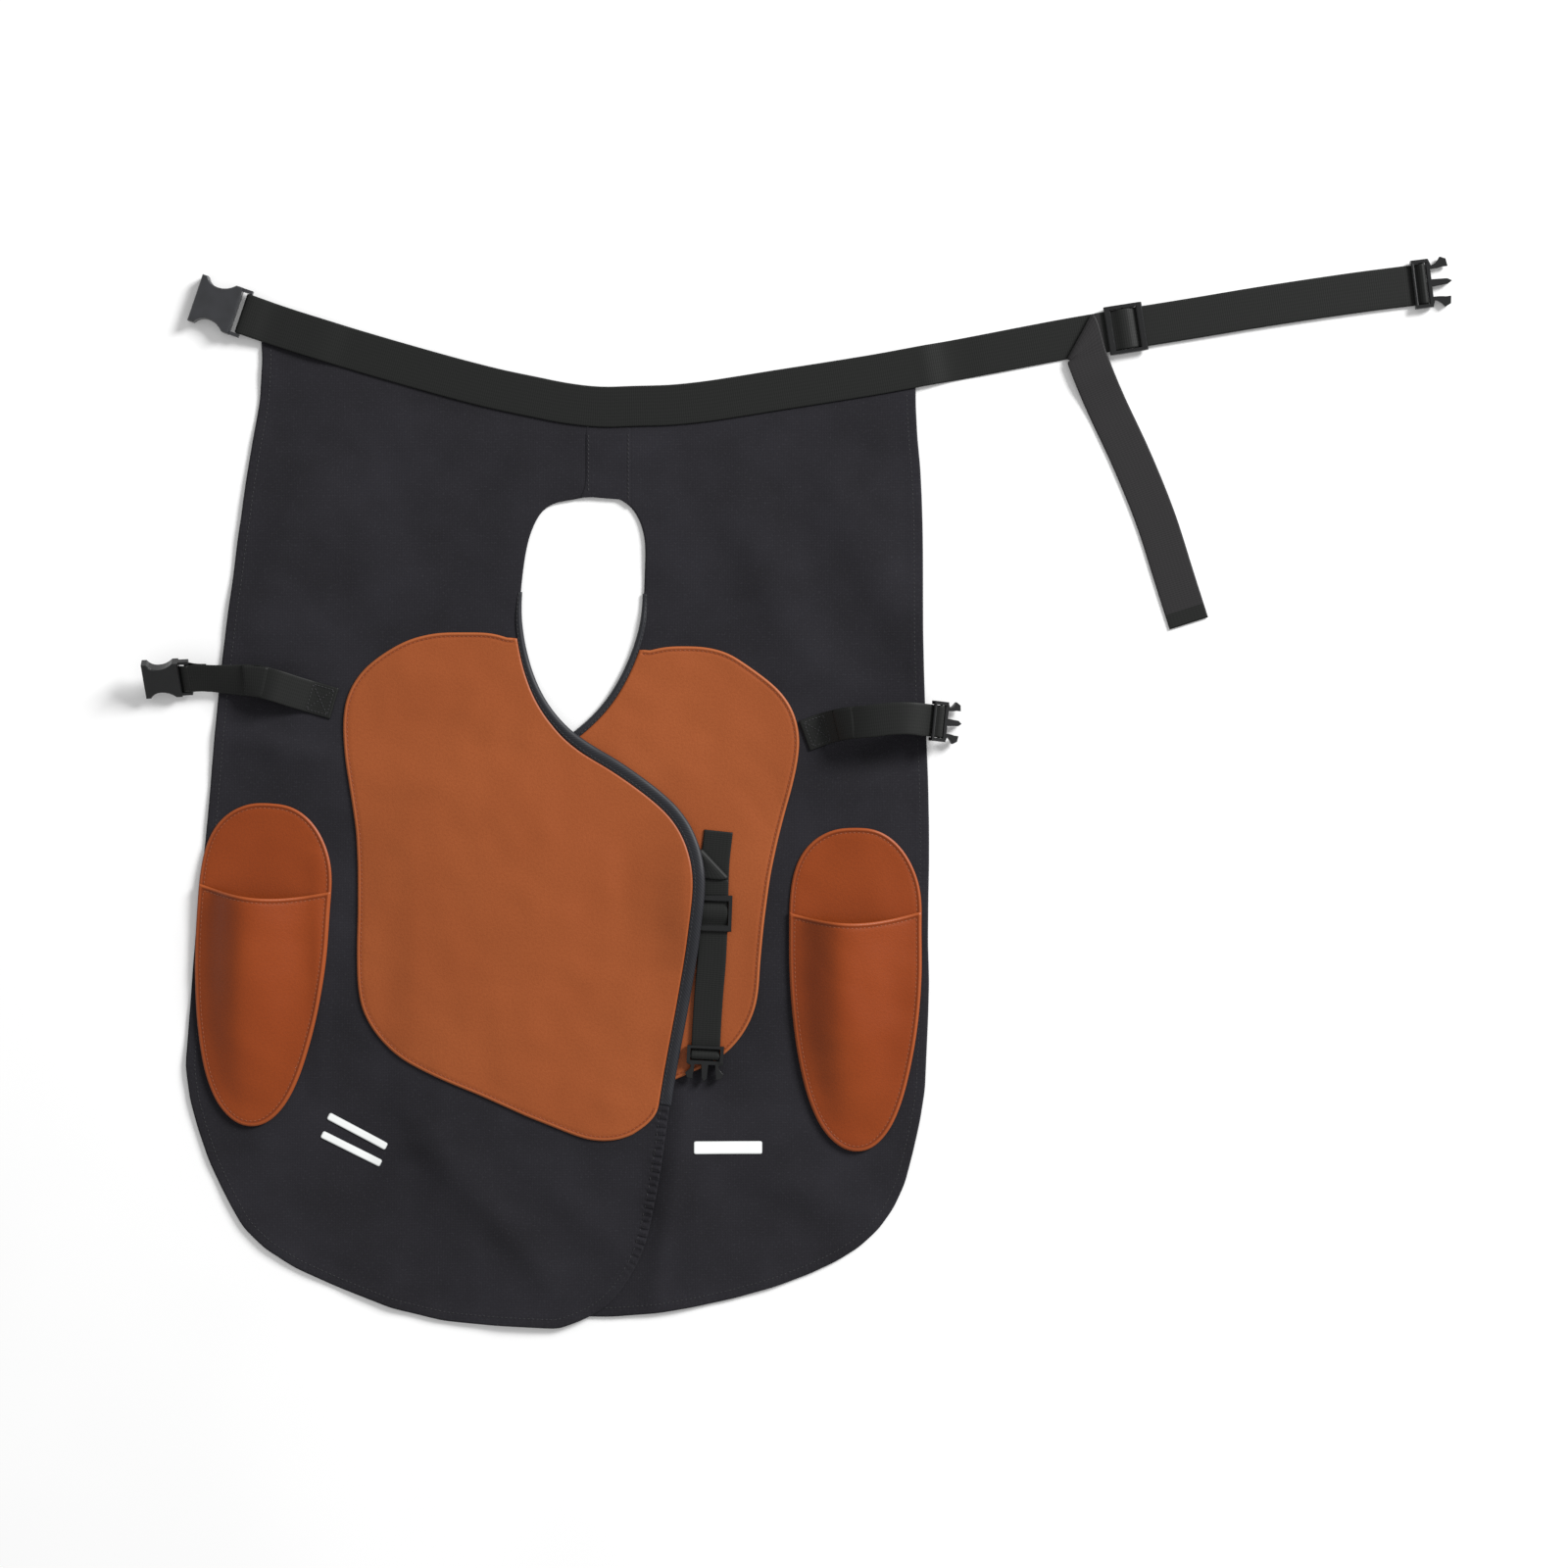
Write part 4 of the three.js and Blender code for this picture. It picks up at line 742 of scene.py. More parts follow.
def resampled(points: np.ndarray, spacing: float, closed: bool = False) -> np.ndarray:
    """Spaces points evenly along a line.

    Args:
        points: The line's points, one row each.
        spacing: The distance wanted between two points.
        closed: Whether the line comes back to its start.

    Returns:
        The new points. A closed line doesn't repeat its first one.
    """
    line = np.vstack([points, points[:1]]) if closed else points
    reach = np.concatenate([[0.0], np.cumsum(np.linalg.norm(np.diff(line, axis=0), axis=1))])
    count = max(2, round(reach[-1] / spacing))
    places = np.linspace(0.0, reach[-1], count + 1)
    if closed:
        places = places[:-1]
    return np.column_stack([np.interp(places, reach, line[:, axis]) for axis in range(line.shape[1])])


def smoothed(points: np.ndarray, passes: int) -> np.ndarray:
    """Relaxes an open line between its two fixed ends.

    Args:
        points: The line's points, evenly spaced.
        passes: How many times each point moves towards its neighbours.

    Returns:
        The smoothed points.
    """
    line = points.copy()
    for _ in range(passes):
        line[1:-1] += 0.5 * ((line[:-2] + line[2:]) / 2 - line[1:-1])
    return line


def plan_outline(node: str, spacing: float, corner_deg: float = 38.0, passes: int = 20) -> np.ndarray:
    """Reads a CAD node's outline in plan, with its corners kept and its facets smoothed.

    Args:
        node: The CAD node's name.
        spacing: The distance wanted between two points.
        corner_deg: Turns sharper than this stay corners.
        passes: How strongly the facets are smoothed.

    Returns:
        A closed loop in plan, counter-clockwise.
    """
    mesh = welded(node)
    up = {face.index for face in mesh.faces if face.normal.z > 0.3}
    after: dict[int, int] = {}
    places = {vert.index: vert.co.copy() for vert in mesh.verts}
    for face in mesh.faces:
        for loop in face.loops if face.index in up else ():
            if not any(other.index in up for other in loop.edge.link_faces if other is not face):
                after[loop.vert.index] = loop.link_loop_next.vert.index
    mesh.free()
    loops: list[list[int]] = []
    while after:
        start, following = next(iter(after.items()))
        chain = [start]
        while following != start and following in after:
            chain.append(following)
            following = after.pop(following)
        after.pop(start, None)
        loops.append(chain)
    longest = max(loops, key=len)
    loop = np.array([places[index][:2] for index in longest])
    area = 0.5 * np.sum(loop[:, 0] * np.roll(loop[:, 1], -1) - np.roll(loop[:, 0], -1) * loop[:, 1])
    if area < 0:
        loop = loop[::-1]
    ahead = np.roll(loop, -1, axis=0) - loop
    behind = loop - np.roll(loop, 1, axis=0)
    turn = np.arctan2(
        behind[:, 0] * ahead[:, 1] - behind[:, 1] * ahead[:, 0],
        np.sum(ahead * behind, axis=1),
    )
    corners = np.flatnonzero(np.abs(turn) > math.radians(corner_deg))
    if len(corners) == 0:
        ring = resampled(loop, spacing, closed=True)
        for _ in range(passes):
            ring += 0.5 * ((np.roll(ring, 1, axis=0) + np.roll(ring, -1, axis=0)) / 2 - ring)
        return ring
    loop = np.roll(loop, -corners[0], axis=0)
    stops = [*(corners - corners[0]), len(loop)]
    closed = np.vstack([loop, loop[:1]])
    runs = []
    for first, last in zip(stops[:-1], stops[1:]):
        run = closed[first : last + 1]
        runs.append(smoothed(resampled(run, spacing), passes)[:-1])
    return np.vstack(runs)


def strap_rings(node: str) -> np.ndarray:
    """Reads the crossings of a CAD strap, from one end to the other.

    Args:
        node: The CAD node's name.

    Returns:
        The four corners of each crossing, in millimetres: (crossings, 4, 3). Corners 0 and 1 lie
        across one face of the strap, and corners 3 and 2 lie under them on its other face.
    """
    mesh = welded(node)
    places = {vert.index: np.array(vert.co) for vert in mesh.verts}
    beside = {vert.index: {edge.other_vert(vert).index for edge in vert.link_edges} for vert in mesh.verts}
    ring: list[int] = []
    for edge in mesh.edges:
        four = {vert.index for face in edge.link_faces for vert in face.verts}
        around = set().union(*(beside[index] for index in four)) - four
        if len(four) == 4 and len(around) == 4:
            first, third = (vert.index for vert in edge.verts)
            second, fourth = four - {first, third}
            ring = [first, second, third, fourth]
            break
    mesh.free()
    if math.dist(places[ring[0]], places[ring[1]]) < math.dist(places[ring[1]], places[ring[2]]):
        ring = [ring[1], ring[2], ring[3], ring[0]]
    rings = [ring]
    seen = set(ring)
    while True:
        following = set().union(*(beside[index] for index in rings[-1])) - seen
        if len(following) != 4:
            return np.array([[places[index] for index in crossing] for crossing in rings])
        before = rings[-1]
        nearest = min(
            permutations(following),
            key=lambda order: sum(math.dist(places[a], places[b]) for a, b in zip(before, order)),
        )
        rings.append(list(nearest))
        seen |= following


class NodeHeight:
    """Height of a CAD node's upper face over the plan, in millimetres, with its facets smoothed."""

    def __init__(self, node: str, spacing: float = 6.0, passes: int = 3) -> None:
        """Samples the node from above.

        Args:
            node: The CAD node's name.
            spacing: The distance between two samples.
            passes: How many times the samples are averaged with their neighbours.
        """
        mesh = welded(node)
        tree = BVHTree.FromBMesh(mesh)
        mesh.free()
        low, high = (np.array(corner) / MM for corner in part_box(node))
        self.spacing = spacing
        self.low = low[:2] - 2 * spacing
        counts = np.ceil((high[:2] - self.low) / spacing).astype(int) + 3
        grid = np.full(counts, np.nan)
        above = float(high[2]) + 10.0
        for i, j in np.ndindex(*counts):
            x, y = self.low + spacing * np.array([i, j])
            hit = tree.ray_cast(Vector((x, y, above)), Vector((0, 0, -1)))[0]
            if hit is not None:
                grid[i, j] = hit.z
        while np.isnan(grid).any():
            around = self._around(grid)
            known = ~np.isnan(around)
            count = known.sum(axis=0)
            mean = np.where(known, around, 0).sum(axis=0) / np.maximum(count, 1)
            grid = np.where(np.isnan(grid) & (count > 0), mean, grid)
        for _ in range(passes):
            grid = (grid + self._around(grid).mean(axis=0)) / 2
        self.grid = grid

    @staticmethod
    def _around(grid: np.ndarray) -> np.ndarray:
        """Gives the four neighbours of each sample, with the edges repeated."""
        wide = np.pad(grid, 1, mode="edge")
        return np.stack([wide[:-2, 1:-1], wide[2:, 1:-1], wide[1:-1, :-2], wide[1:-1, 2:]])

    def __call__(self, points: np.ndarray) -> np.ndarray:
        """Gives the height at points of the plan.

        Args:
            points: Places in plan, one row each.

        Returns:
            One height for each.
        """
        place = (points - self.low) / self.spacing
        limit = np.array(self.grid.shape) - 2
        corner = np.clip(np.floor(place).astype(int), 0, limit)
        share = np.clip(place - corner, 0.0, 1.0)
        i, j = corner[:, 0], corner[:, 1]
        u, v = share[:, 0], share[:, 1]
        grid = self.grid
        near = grid[i, j] * (1 - u) + grid[i + 1, j] * u
        far = grid[i, j + 1] * (1 - u) + grid[i + 1, j + 1] * u
        return near * (1 - v) + far * v


@dataclass(frozen=True)
class Place:
    """Points of a plan, and where they are to its outline, in millimetres."""

    points: np.ndarray
    along: np.ndarray
    away: np.ndarray
    nearest: np.ndarray


def placed(points: np.ndarray, line: np.ndarray, closed: bool = True) -> Place:
    """Finds how far points are from a line in plan.

    Args:
        points: Places in plan, one row each.
        line: The line's points.
        closed: Whether the line comes back to its start.

    Returns:
        The points with their distance from the line, and along it.
    """
    start = line if closed else line[:-1]
    end = np.roll(line, -1, axis=0) if closed else line[1:]
    run = end - start
    length = np.linalg.norm(run, axis=1)
    reach = np.concatenate([[0.0], np.cumsum(length)])[:-1]
    along, away, nearest = [], [], []
    for part in np.array_split(points, max(1, len(points) // 800)):
        offset = part[:, None, :] - start[None]
        share = np.clip((offset * run).sum(axis=2) / np.maximum(length**2, 1e-9), 0.0, 1.0)
        gap = np.linalg.norm(offset - share[..., None] * run, axis=2)
        best = gap.argmin(axis=1)
        row = np.arange(len(part))
        chosen = share[row, best]
        along.append(reach[best] + chosen * length[best])
        away.append(gap[row, best])
        nearest.append(start[best] + chosen[:, None] * run[best])
    return Place(points, np.concatenate(along), np.concatenate(away), np.vstack(nearest))


def inset(loop: np.ndarray, distance: float) -> np.ndarray:
    """Moves a counter-clockwise loop inwards.

    Args:
        loop: The loop's points in plan.
        distance: How far.

    Returns:
        One point for each.
    """
    ahead = np.roll(loop, -1, axis=0) - loop
    ahead /= np.maximum(np.linalg.norm(ahead, axis=1, keepdims=True), 1e-9)
    behind = np.roll(ahead, 1, axis=0)
    inward = np.column_stack([-(ahead + behind)[:, 1], (ahead + behind)[:, 0]])
    inward /= np.maximum(np.linalg.norm(inward, axis=1, keepdims=True), 1e-9)
    lean = np.clip((inward * np.column_stack([-ahead[:, 1], ahead[:, 0]])).sum(axis=1), 0.6, 1.0)
    return loop + inward * (distance / lean)[:, None]


# ---- the lie of the cloth


@dataclass(frozen=True)
class Fold:
    """A soft ridge in the cloth, or a hollow where its rise is negative, in millimetres."""

    start: tuple[float, float]
    end: tuple[float, float]
    width: float
    rise: float

    def lift(self, points: np.ndarray) -> np.ndarray:
        """Gives how much the fold lifts each point.

        Args:
            points: Places in plan, one row each.

        Returns:
            One lift for each, in millimetres.
        """
        run = np.subtract(self.end, self.start)
        share = np.clip(((points - self.start) @ run) / (run @ run), 0.0, 1.0)
        gap = np.linalg.norm(points - (np.array(self.start) + share[:, None] * run), axis=1)
        # Two fifths of the rise stay at the fold's ends
        body = np.sin(math.pi * share) * 0.6 + 0.4
        return self.rise * body * np.exp(-((gap / self.width) ** 2))


@dataclass(frozen=True)
class Drape:
    """Relief shared by every layer of the two panels, flat where hardware lies on them."""

    held_lines: tuple[np.ndarray, ...]
    folds: tuple[Fold, ...] = (
        Fold((-391, -341), (-318, -314), 9, 2.2),
        Fold((-373, -295), (-235, -452), 17, 3.6),
        Fold((-452, -60), (-448, -280), 7, 1.4),
        Fold((-545, 55), (-440, 35), 16, 3.0),
        Fold((-520, 160), (-440, 330), 24, 2.4),
        Fold((-60, 275), (10, 120), 26, 3.6),
        Fold((18, 310), (108, 140), 24, 3.4),
        Fold((20, -2), (118, 14), 18, 3.2),
        Fold((40, -60), (112, 10), 14, 2.2),
        Fold((-60, -350), (60, -395), 20, 2.6),
        Fold((-250, -350), (-160, -440), 20, 2.2),
        # The right panel rises just past the edge of the left one, which lies on it
        Fold((-105, -285), (-136, -470), 11, 3.8),
        Fold((-88, -285), (-112, -470), 26, 3.0),
        # The left patch is dished: its middle stands up, so that it takes more light on the right
        Fold((-250, 40), (-262, -180), 95, 5.0),
    )
    swell_mm: float = 1.9
    swell_width: float = 75.0
    crumple_mm: float = 0.6
    crumple_width: float = 24.0
    held_near: float = 23.0
    held_far: float = 52.0
    # Heights in the noise at which its two layers are read, so that they aren't alike
    swell_layer: float = 3.0
    crumple_layer: float = 40.0
    lowest: float = -0.9
    highest: float = 6.0

    def __call__(self, points: np.ndarray) -> np.ndarray:
        """Gives the relief at points of the plan.

        Args:
            points: Places in plan, one row each.

        Returns:
            How far the cloth stands off its plain lie.
        """
        lift = np.array(
            [
                self.swell_mm * noise.noise(Vector((x, y, self.swell_layer)) / self.swell_width)
                + self.crumple_mm * noise.noise(Vector((x, y, self.crumple_layer)) / self.crumple_width)
                for x, y in points
            ]
        )
        for fold in self.folds:
            lift += fold.lift(points)
        for line in self.held_lines:
            lift *= soft_step(placed(points, line, closed=False).away, self.held_near, self.held_far)
        return np.clip(lift, self.lowest, self.highest)


# ---- making pieces


class Piece:
    """What every piece of the apron has in common: it rides on the frame and takes a finish."""

    @staticmethod
    def made(
        name: str,
        points: np.ndarray,
        faces: Sequence[Sequence[int]],
        material: bpy.types.Material,
        slot: Slot,
        layers: dict[str, np.ndarray] | None = None,
    ) -> bpy.types.Object:
        """Makes a mesh object that rides on the frame.

        Args:
            name: The piece's name.
            points: Its points, in millimetres.
            faces: The point numbers of each face.
            material: Its finish.
            slot: Not used.
            layers: UV coordinates of each point by layer, in millimetres.

        Returns:
            The new object.
        """
        mesh = bpy.data.meshes.new(name)
        mesh.from_pydata((np.asarray(points) * MM).tolist(), [], [list(face) for face in faces])
        corner = np.zeros(len(mesh.loops), dtype=np.int32)
        mesh.loops.foreach_get("vertex_index", corner)
        for layer, values in (layers or {}).items():
            uv = mesh.uv_layers.new(name=layer)
            uv.uv.foreach_set("vector", (values[corner] * MM).astype(np.float32).ravel())
        mesh.polygons.foreach_set("use_smooth", np.ones(len(mesh.polygons), dtype=bool))
        mesh.materials.append(material)
        piece = bpy.data.objects.new(name, mesh)
        bpy.context.collection.objects.link(piece)
        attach(piece, "root")
        log.info("%s: %d points, %d faces", name, len(mesh.vertices), len(mesh.polygons))
        return piece

    @staticmethod
    def turn_outwards(mesh: bpy.types.Mesh) -> None:
        """Makes all the faces of a closed mesh look outwards.

        Args:
            mesh: The mesh, which is changed.
        """
        work = bmesh.new()
        work.from_mesh(mesh)
        bmesh.ops.recalc_face_normals(work, faces=work.faces[:])
        work.to_mesh(mesh)
        work.free()


@dataclass
class Sheet(Piece):
    """A sheet of cloth or leather that lies on what is under it."""

    name: str
    node: str
    outline: np.ndarray
    top: Callable[[Place], np.ndarray]
    under: Callable[[Place], np.ndarray]
    spacing: float = 6.0
    insets: tuple[float, ...] = (0.0, 0.15, 0.5, 1.1, 2.0, 3.0, 4.2, 5.5, 7.5, 10.0, 13.0)
    rests_on: tuple[str, ...] = ()
    narrowest_sheet: float = 10.0
    thinnest: float = 0.3
    # Edge distance given to points whose edge is covered, so that the marks drawn near an edge, partly
    # painted highlight and painted shade, aren't drawn there
    covered_away: float = 50.0
    free: Callable[[Place], np.ndarray] | None = None

    def area(self) -> float:
        """Gives the sheet's area in plan, in square millimetres."""
        x, y = self.outline.T
        return 0.5 * float(np.sum(x * np.roll(y, -1) - np.roll(x, -1) * y))

    def cut_size(self) -> tuple[float, float]:
        """Gives the sides of the smallest rectangle that the sheet is cut from, in millimetres.

        Returns:
            Its two sides.
        """
        sizes = []
        for turn in np.radians(np.arange(0.0, 90.0, 1.0)):
            across = self.outline @ (math.cos(turn), math.sin(turn))
            along = self.outline @ (-math.sin(turn), math.cos(turn))
            sizes.append((float(np.ptp(across)), float(np.ptp(along))))
        return min(sizes, key=math.prod)

    def _plan(self) -> tuple[Place, list[list[int]], list[int]]:
        """Fills the outline with triangles.

        Returns:
            The points, the triangles, and the point numbers of the outline in order.
        """
        rings = [self.outline]
        for distance in self.insets[1:]:
            ring = inset(self.outline, distance)
            place = placed(ring, self.outline)
            rings.append(ring[place.away > 0.9 * distance])
        low, high = self.outline.min(axis=0), self.outline.max(axis=0)
        row_step = self.spacing * math.sqrt(3) / 2
        rows = []
        for number, y in enumerate(np.arange(low[1], high[1], row_step)):
            x = np.arange(low[0] + (number % 2) * self.spacing / 2, high[0], self.spacing)
            rows.append(np.column_stack([x, np.full(len(x), y)]))
        grid = np.vstack(rows)
        count = len(self.outline)
        grid = grid[self._inside(grid)]
        grid = grid[placed(grid, self.outline).away > self.insets[-1] + 0.4 * self.spacing]
        points = np.vstack([*rings, grid])
        edges = [(index, (index + 1) % count) for index in range(count)]
        found, _, faces, origin, _, _ = delaunay_2d_cdt([Vector(p) for p in points], edges, [], 1, 1e-4)
        where = {old: new for new, olds in enumerate(origin) for old in olds}
        rim = [where[index] for index in range(count)]
        plan = np.array([tuple(vert) for vert in found])
        return placed(plan, self.outline), [list(face) for face in faces], rim

    def _inside(self, points: np.ndarray) -> np.ndarray:
        """Tells which points of the plan are inside the outline.

        Args:
            points: Places in plan, one row each.

        Returns:
            One truth value for each.
        """
        start, end = self.outline, np.roll(self.outline, -1, axis=0)
        inside = np.zeros(len(points), dtype=bool)
        for (ax, ay), (bx, by) in zip(start, end):
            if ay == by:
                continue
            crossed = (ay > points[:, 1]) != (by > points[:, 1])
            inside ^= crossed & (points[:, 0] < (bx - ax) * (points[:, 1] - ay) / (by - ay) + ax)
        return inside

    def build(self, material: bpy.types.Material, slot: Slot) -> bpy.types.Object:
        """Args:
            material: Its finish.
            slot: The record's material slot.

        Returns:
            The new object.
        """
        place, faces, rim = self._plan()
        count = len(place.points)
        top = self.top(place)
        under = self.under(place)
        upper = np.column_stack([place.points, top])
        lower = np.column_stack([place.points, np.minimum(under, top - self.thinnest)])
        middle = (upper[rim] + lower[rim]) / 2
        points = np.vstack([upper, lower, middle])
        sides = []
        for index in range(len(rim)):
            other = (index + 1) % len(rim)
            a, b = rim[index], rim[other]
            m, n = 2 * count + index, 2 * count + other
            sides += [(m, n, b, a), (a + count, b + count, n, m)]
        flipped = [[index + count for index in reversed(face)] for face in faces]
        flat = np.vstack([place.points, place.points, place.points[rim]])
        away = place.away
        if self.free is not None:
            away = np.where(self.free(place), away, self.covered_away)
        edge = np.column_stack([place.along, away])
        layers = {"flat": flat, "edge": np.vstack([edge, edge, edge[rim]])}
        piece = self.made(self.name, points, [*faces, *flipped, *sides], material, slot, layers)
        if self.node:
            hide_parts(self.node)
        return piece


@dataclass(frozen=True)
class Stitches(Piece):
    """Rows of lockstitches in round thread, in millimetres."""

    pitch: float = 4.2
    length: float = 3.1
    thread: float = 0.9
    sides: int = 5
    # Rings of one stitch: share of its length, share of the thread's girth, and height
    rings: tuple[tuple[float, float, float], ...] = (
        (-0.5, 0.35, -0.35),
        (-0.3, 0.95, 0.08),
        (0.3, 0.95, 0.08),
        (0.5, 0.35, -0.35),
    )

    def build(
        self,
        name: str,
        rows: Sequence[np.ndarray],
        material: bpy.types.Material,
        slot: Slot,
    ) -> bpy.types.Object:
        """Sews rows of stitches.

        Args:
            name: The piece's name.
            rows: The line of each row, at the height of the cloth.
            material: The thread.
            slot: The record's material slot.

        Returns:
            The new object, with all the rows.
        """
        points: list[np.ndarray] = []
        faces: list[list[int]] = []
        turns = np.linspace(0, 2 * math.pi, self.sides, endpoint=False)
        for row in rows:
            line = resampled(row, self.pitch)
            for start, end in zip(line[:-1], line[1:]):
                run = end - start
                run /= max(float(np.linalg.norm(run)), 1e-9)
                aside = np.cross(run, (0.0, 0.0, 1.0))
                aside /= max(float(np.linalg.norm(aside)), 1e-9)
                up = np.cross(aside, run)
                middle = (start + end) / 2
                base = len(points) * self.sides
                for share, girth, rise in self.rings:
                    centre = middle + run * share * self.length + up * rise
                    radius = girth * self.thread / 2
                    points.append(
                        centre
                        + radius * np.cos(turns)[:, None] * aside
                        + radius * np.sin(turns)[:, None] * up
                    )
                for step in range(len(self.rings) - 1):
                    for turn in range(self.sides):
                        a = base + step * self.sides + turn
                        b = base + step * self.sides + (turn + 1) % self.sides
                        faces.append([a, a + self.sides, b + self.sides, b])
                faces.append([base + turn for turn in range(self.sides)])
                last = base + (len(self.rings) - 1) * self.sides
                faces.append([last + turn for turn in reversed(range(self.sides))])
        return self.made(name, np.vstack(points), faces, material, slot)


@dataclass
class Strap(Piece):
    """A band of webbing, laid smoothly along the crossings of its CAD node."""

    name: str
    node: str
    spacing: float = 2.0
    # Columns across: millimetres in from each selvage, and shares of the width between them
    selvage: tuple[float, ...] = (0.3, 0.9, 2.2)
    between: tuple[float, ...] = (0.3, 0.5, 0.7)
    # Share of the thickness at each column: rounded selvages, and a middle that is pressed a little
    round_off: tuple[float, ...] = (0.62, 0.95, 1.0)
    pressed: float = 0.93
    end_fold: float = 16.0
    rests_on: tuple[str, ...] = ()

    def __post_init__(self) -> None:
        """Reads the crossings and spaces them evenly."""
        rings = strap_rings(self.node)
        left = (rings[:, 0] + rings[:, 3]) / 2
        right = (rings[:, 1] + rings[:, 2]) / 2
        centre = (left + right) / 2
        gaps = np.linalg.norm(np.diff(centre, axis=0), axis=1)
        reach = np.concatenate([[0.0], np.cumsum(gaps)])
        count = max(8, round(reach[-1] / self.spacing))
        self.along = np.linspace(0.0, reach[-1], count)
        self.left = self._curved(left, reach)
        self.right = self._curved(right, reach)
        self.thickness = float(np.median(np.linalg.norm(rings[:, 0] - rings[:, 3], axis=1)))
        across = self.right - self.left
        ahead = np.gradient((self.left + self.right) / 2, axis=0)
        normal = np.cross(ahead, across)
        face = self._curved(rings[:, 0] - rings[:, 3], reach)
        normal *= np.sign((normal * face).sum(axis=1))[:, None]
        self.normal = normal / np.maximum(np.linalg.norm(normal, axis=1, keepdims=True), 1e-9)
        self.length = float(reach[-1])
        self.width = float(np.median(np.linalg.norm(across, axis=1)))

    def _curved(self, values: np.ndarray, reach: np.ndarray) -> np.ndarray:
        """Reads a smooth curve through the crossings at the even places.

        Args:
            values: One row for each crossing.
            reach: Where each crossing is along the strap.

        Returns:
            One row for each even place.
        """
        step = np.maximum(np.diff(reach), 1e-6)
        slope = np.diff(values, axis=0) / step[:, None]
        weight = (step[:-1] / (step[:-1] + step[1:]))[:, None]
        middle = slope[1:] * weight + slope[:-1] * (1 - weight)
        tangent = np.vstack([slope[:1], middle, slope[-1:]])
        at = np.clip(np.searchsorted(reach, self.along, side="right") - 1, 0, len(step) - 1)
        share = ((self.along - reach[at]) / step[at])[:, None]
        long = step[at][:, None]
        square, cube = share**2, share**3
        return (
            values[at] * (2 * cube - 3 * square + 1)
            + tangent[at] * long * (cube - 2 * square + share)
            + values[at + 1] * (3 * square - 2 * cube)
            + tangent[at + 1] * long * (cube - square)
        )

    def centre(self) -> np.ndarray:
        """Gives the strap's middle line in plan."""
        return ((self.left + self.right) / 2)[:, :2]

    def on_face(self, along: np.ndarray, across: np.ndarray, level: float = 0.0) -> np.ndarray:
        """Gives points on the strap's upper face.

        Args:
            along: How far along the strap, in millimetres.
            across: Share of the width, from 0 to 1.
            level: How far from each end the strap is taken to run straight on.

        Returns:
            One point for each.
        """
        kept = np.clip(along, level, self.length - level)
        ahead = np.gradient((self.left + self.right) / 2, self.along, axis=0)
        read = [
            np.column_stack([np.interp(kept, self.along, values[:, axis]) for axis in range(3)])
            for values in (self.left, self.right, self.normal, ahead)
        ]
        left, right, normal, ahead = read
        normal *= np.where(normal[:, 2:] < 0, -1.0, 1.0)
        past = ahead * (along - kept)[:, None]
        return left + (right - left) * across[:, None] + normal * (self.thickness / 2) + past

    def build(
        self,
        material: bpy.types.Material,
        reverse: bpy.types.Material | None = None,
        paler_from: float = math.inf,
    ) -> bpy.types.Object:
        """Args:
            material: The webbing.
            reverse: A paler copy of the webbing, for a turned part of the strap.
            paler_from: How far along the strap that part starts, in millimetres. Its folded end takes
                the first webbing again.

        Returns:
            The new object.
        """
        inner = np.array(self.selvage) / self.width
        shares = np.concatenate([inner, self.between, 1 - inner[::-1]])
        crown = np.concatenate([self.round_off, [self.pressed] * len(self.between), self.round_off[::-1]])
        columns = len(shares)
        across = self.right - self.left
        half = self.thickness / 2
        upper = self.left[:, None] + across[:, None] * shares[:, None]
        lower = upper - self.normal[:, None] * (half * crown)[:, None]
        upper = upper + self.normal[:, None] * (half * crown)[:, None]
        # Round the band: left selvage, upper face, right selvage, lower face back
        band = np.concatenate([self.left[:, None], upper, self.right[:, None], lower[:, ::-1]], axis=1)
        size = band.shape[1]
        across_mm = np.concatenate([[0.0], shares, [1.0], shares[::-1]]) * self.width
        faces: list[Sequence[int]] = []
        for row in range(len(band) - 1):
            for column in range(size):
                other = (column + 1) % size
                a, b = row * size + column, row * size + other
                faces.append((a, b, b + size, a + size))
        faces.append(tuple(range(size))[::-1])
        faces.append(tuple((len(band) - 1) * size + column for column in range(size)))
        along = np.repeat(self.along, size)
        layers = {"strap": np.column_stack([np.tile(across_mm, len(band)), along])}
        piece = self.made(self.name, band.reshape(-1, 3), faces, material, Slot.WEBBING, layers)
        self.turn_outwards(piece.data)
        if reverse:
            piece.data.materials.append(reverse)
            first = int(np.searchsorted(self.along, paler_from)) * size
            last = int(np.searchsorted(self.along, self.length - self.end_fold)) * size
            for face in piece.data.polygons:
                face.material_index = int(first <= min(face.vertices) < last)
        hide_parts(self.node)
        return piece


@dataclass
class Ground:
    """The height of one panel's upper face, with the shared drape on it."""

    side: Side
    drape: Drape
    spacing: float = 6.0

    def __post_init__(self) -> None:
        """Samples the panel's CAD node."""
        self.height = NodeHeight(f"panel_{self.side.value}", self.spacing, passes=2)

    def __call__(self, points: np.ndarray) -> np.ndarray:
        """Gives the height of the canvas at points of the plan."""
        return self.height(points) + self.drape(points)


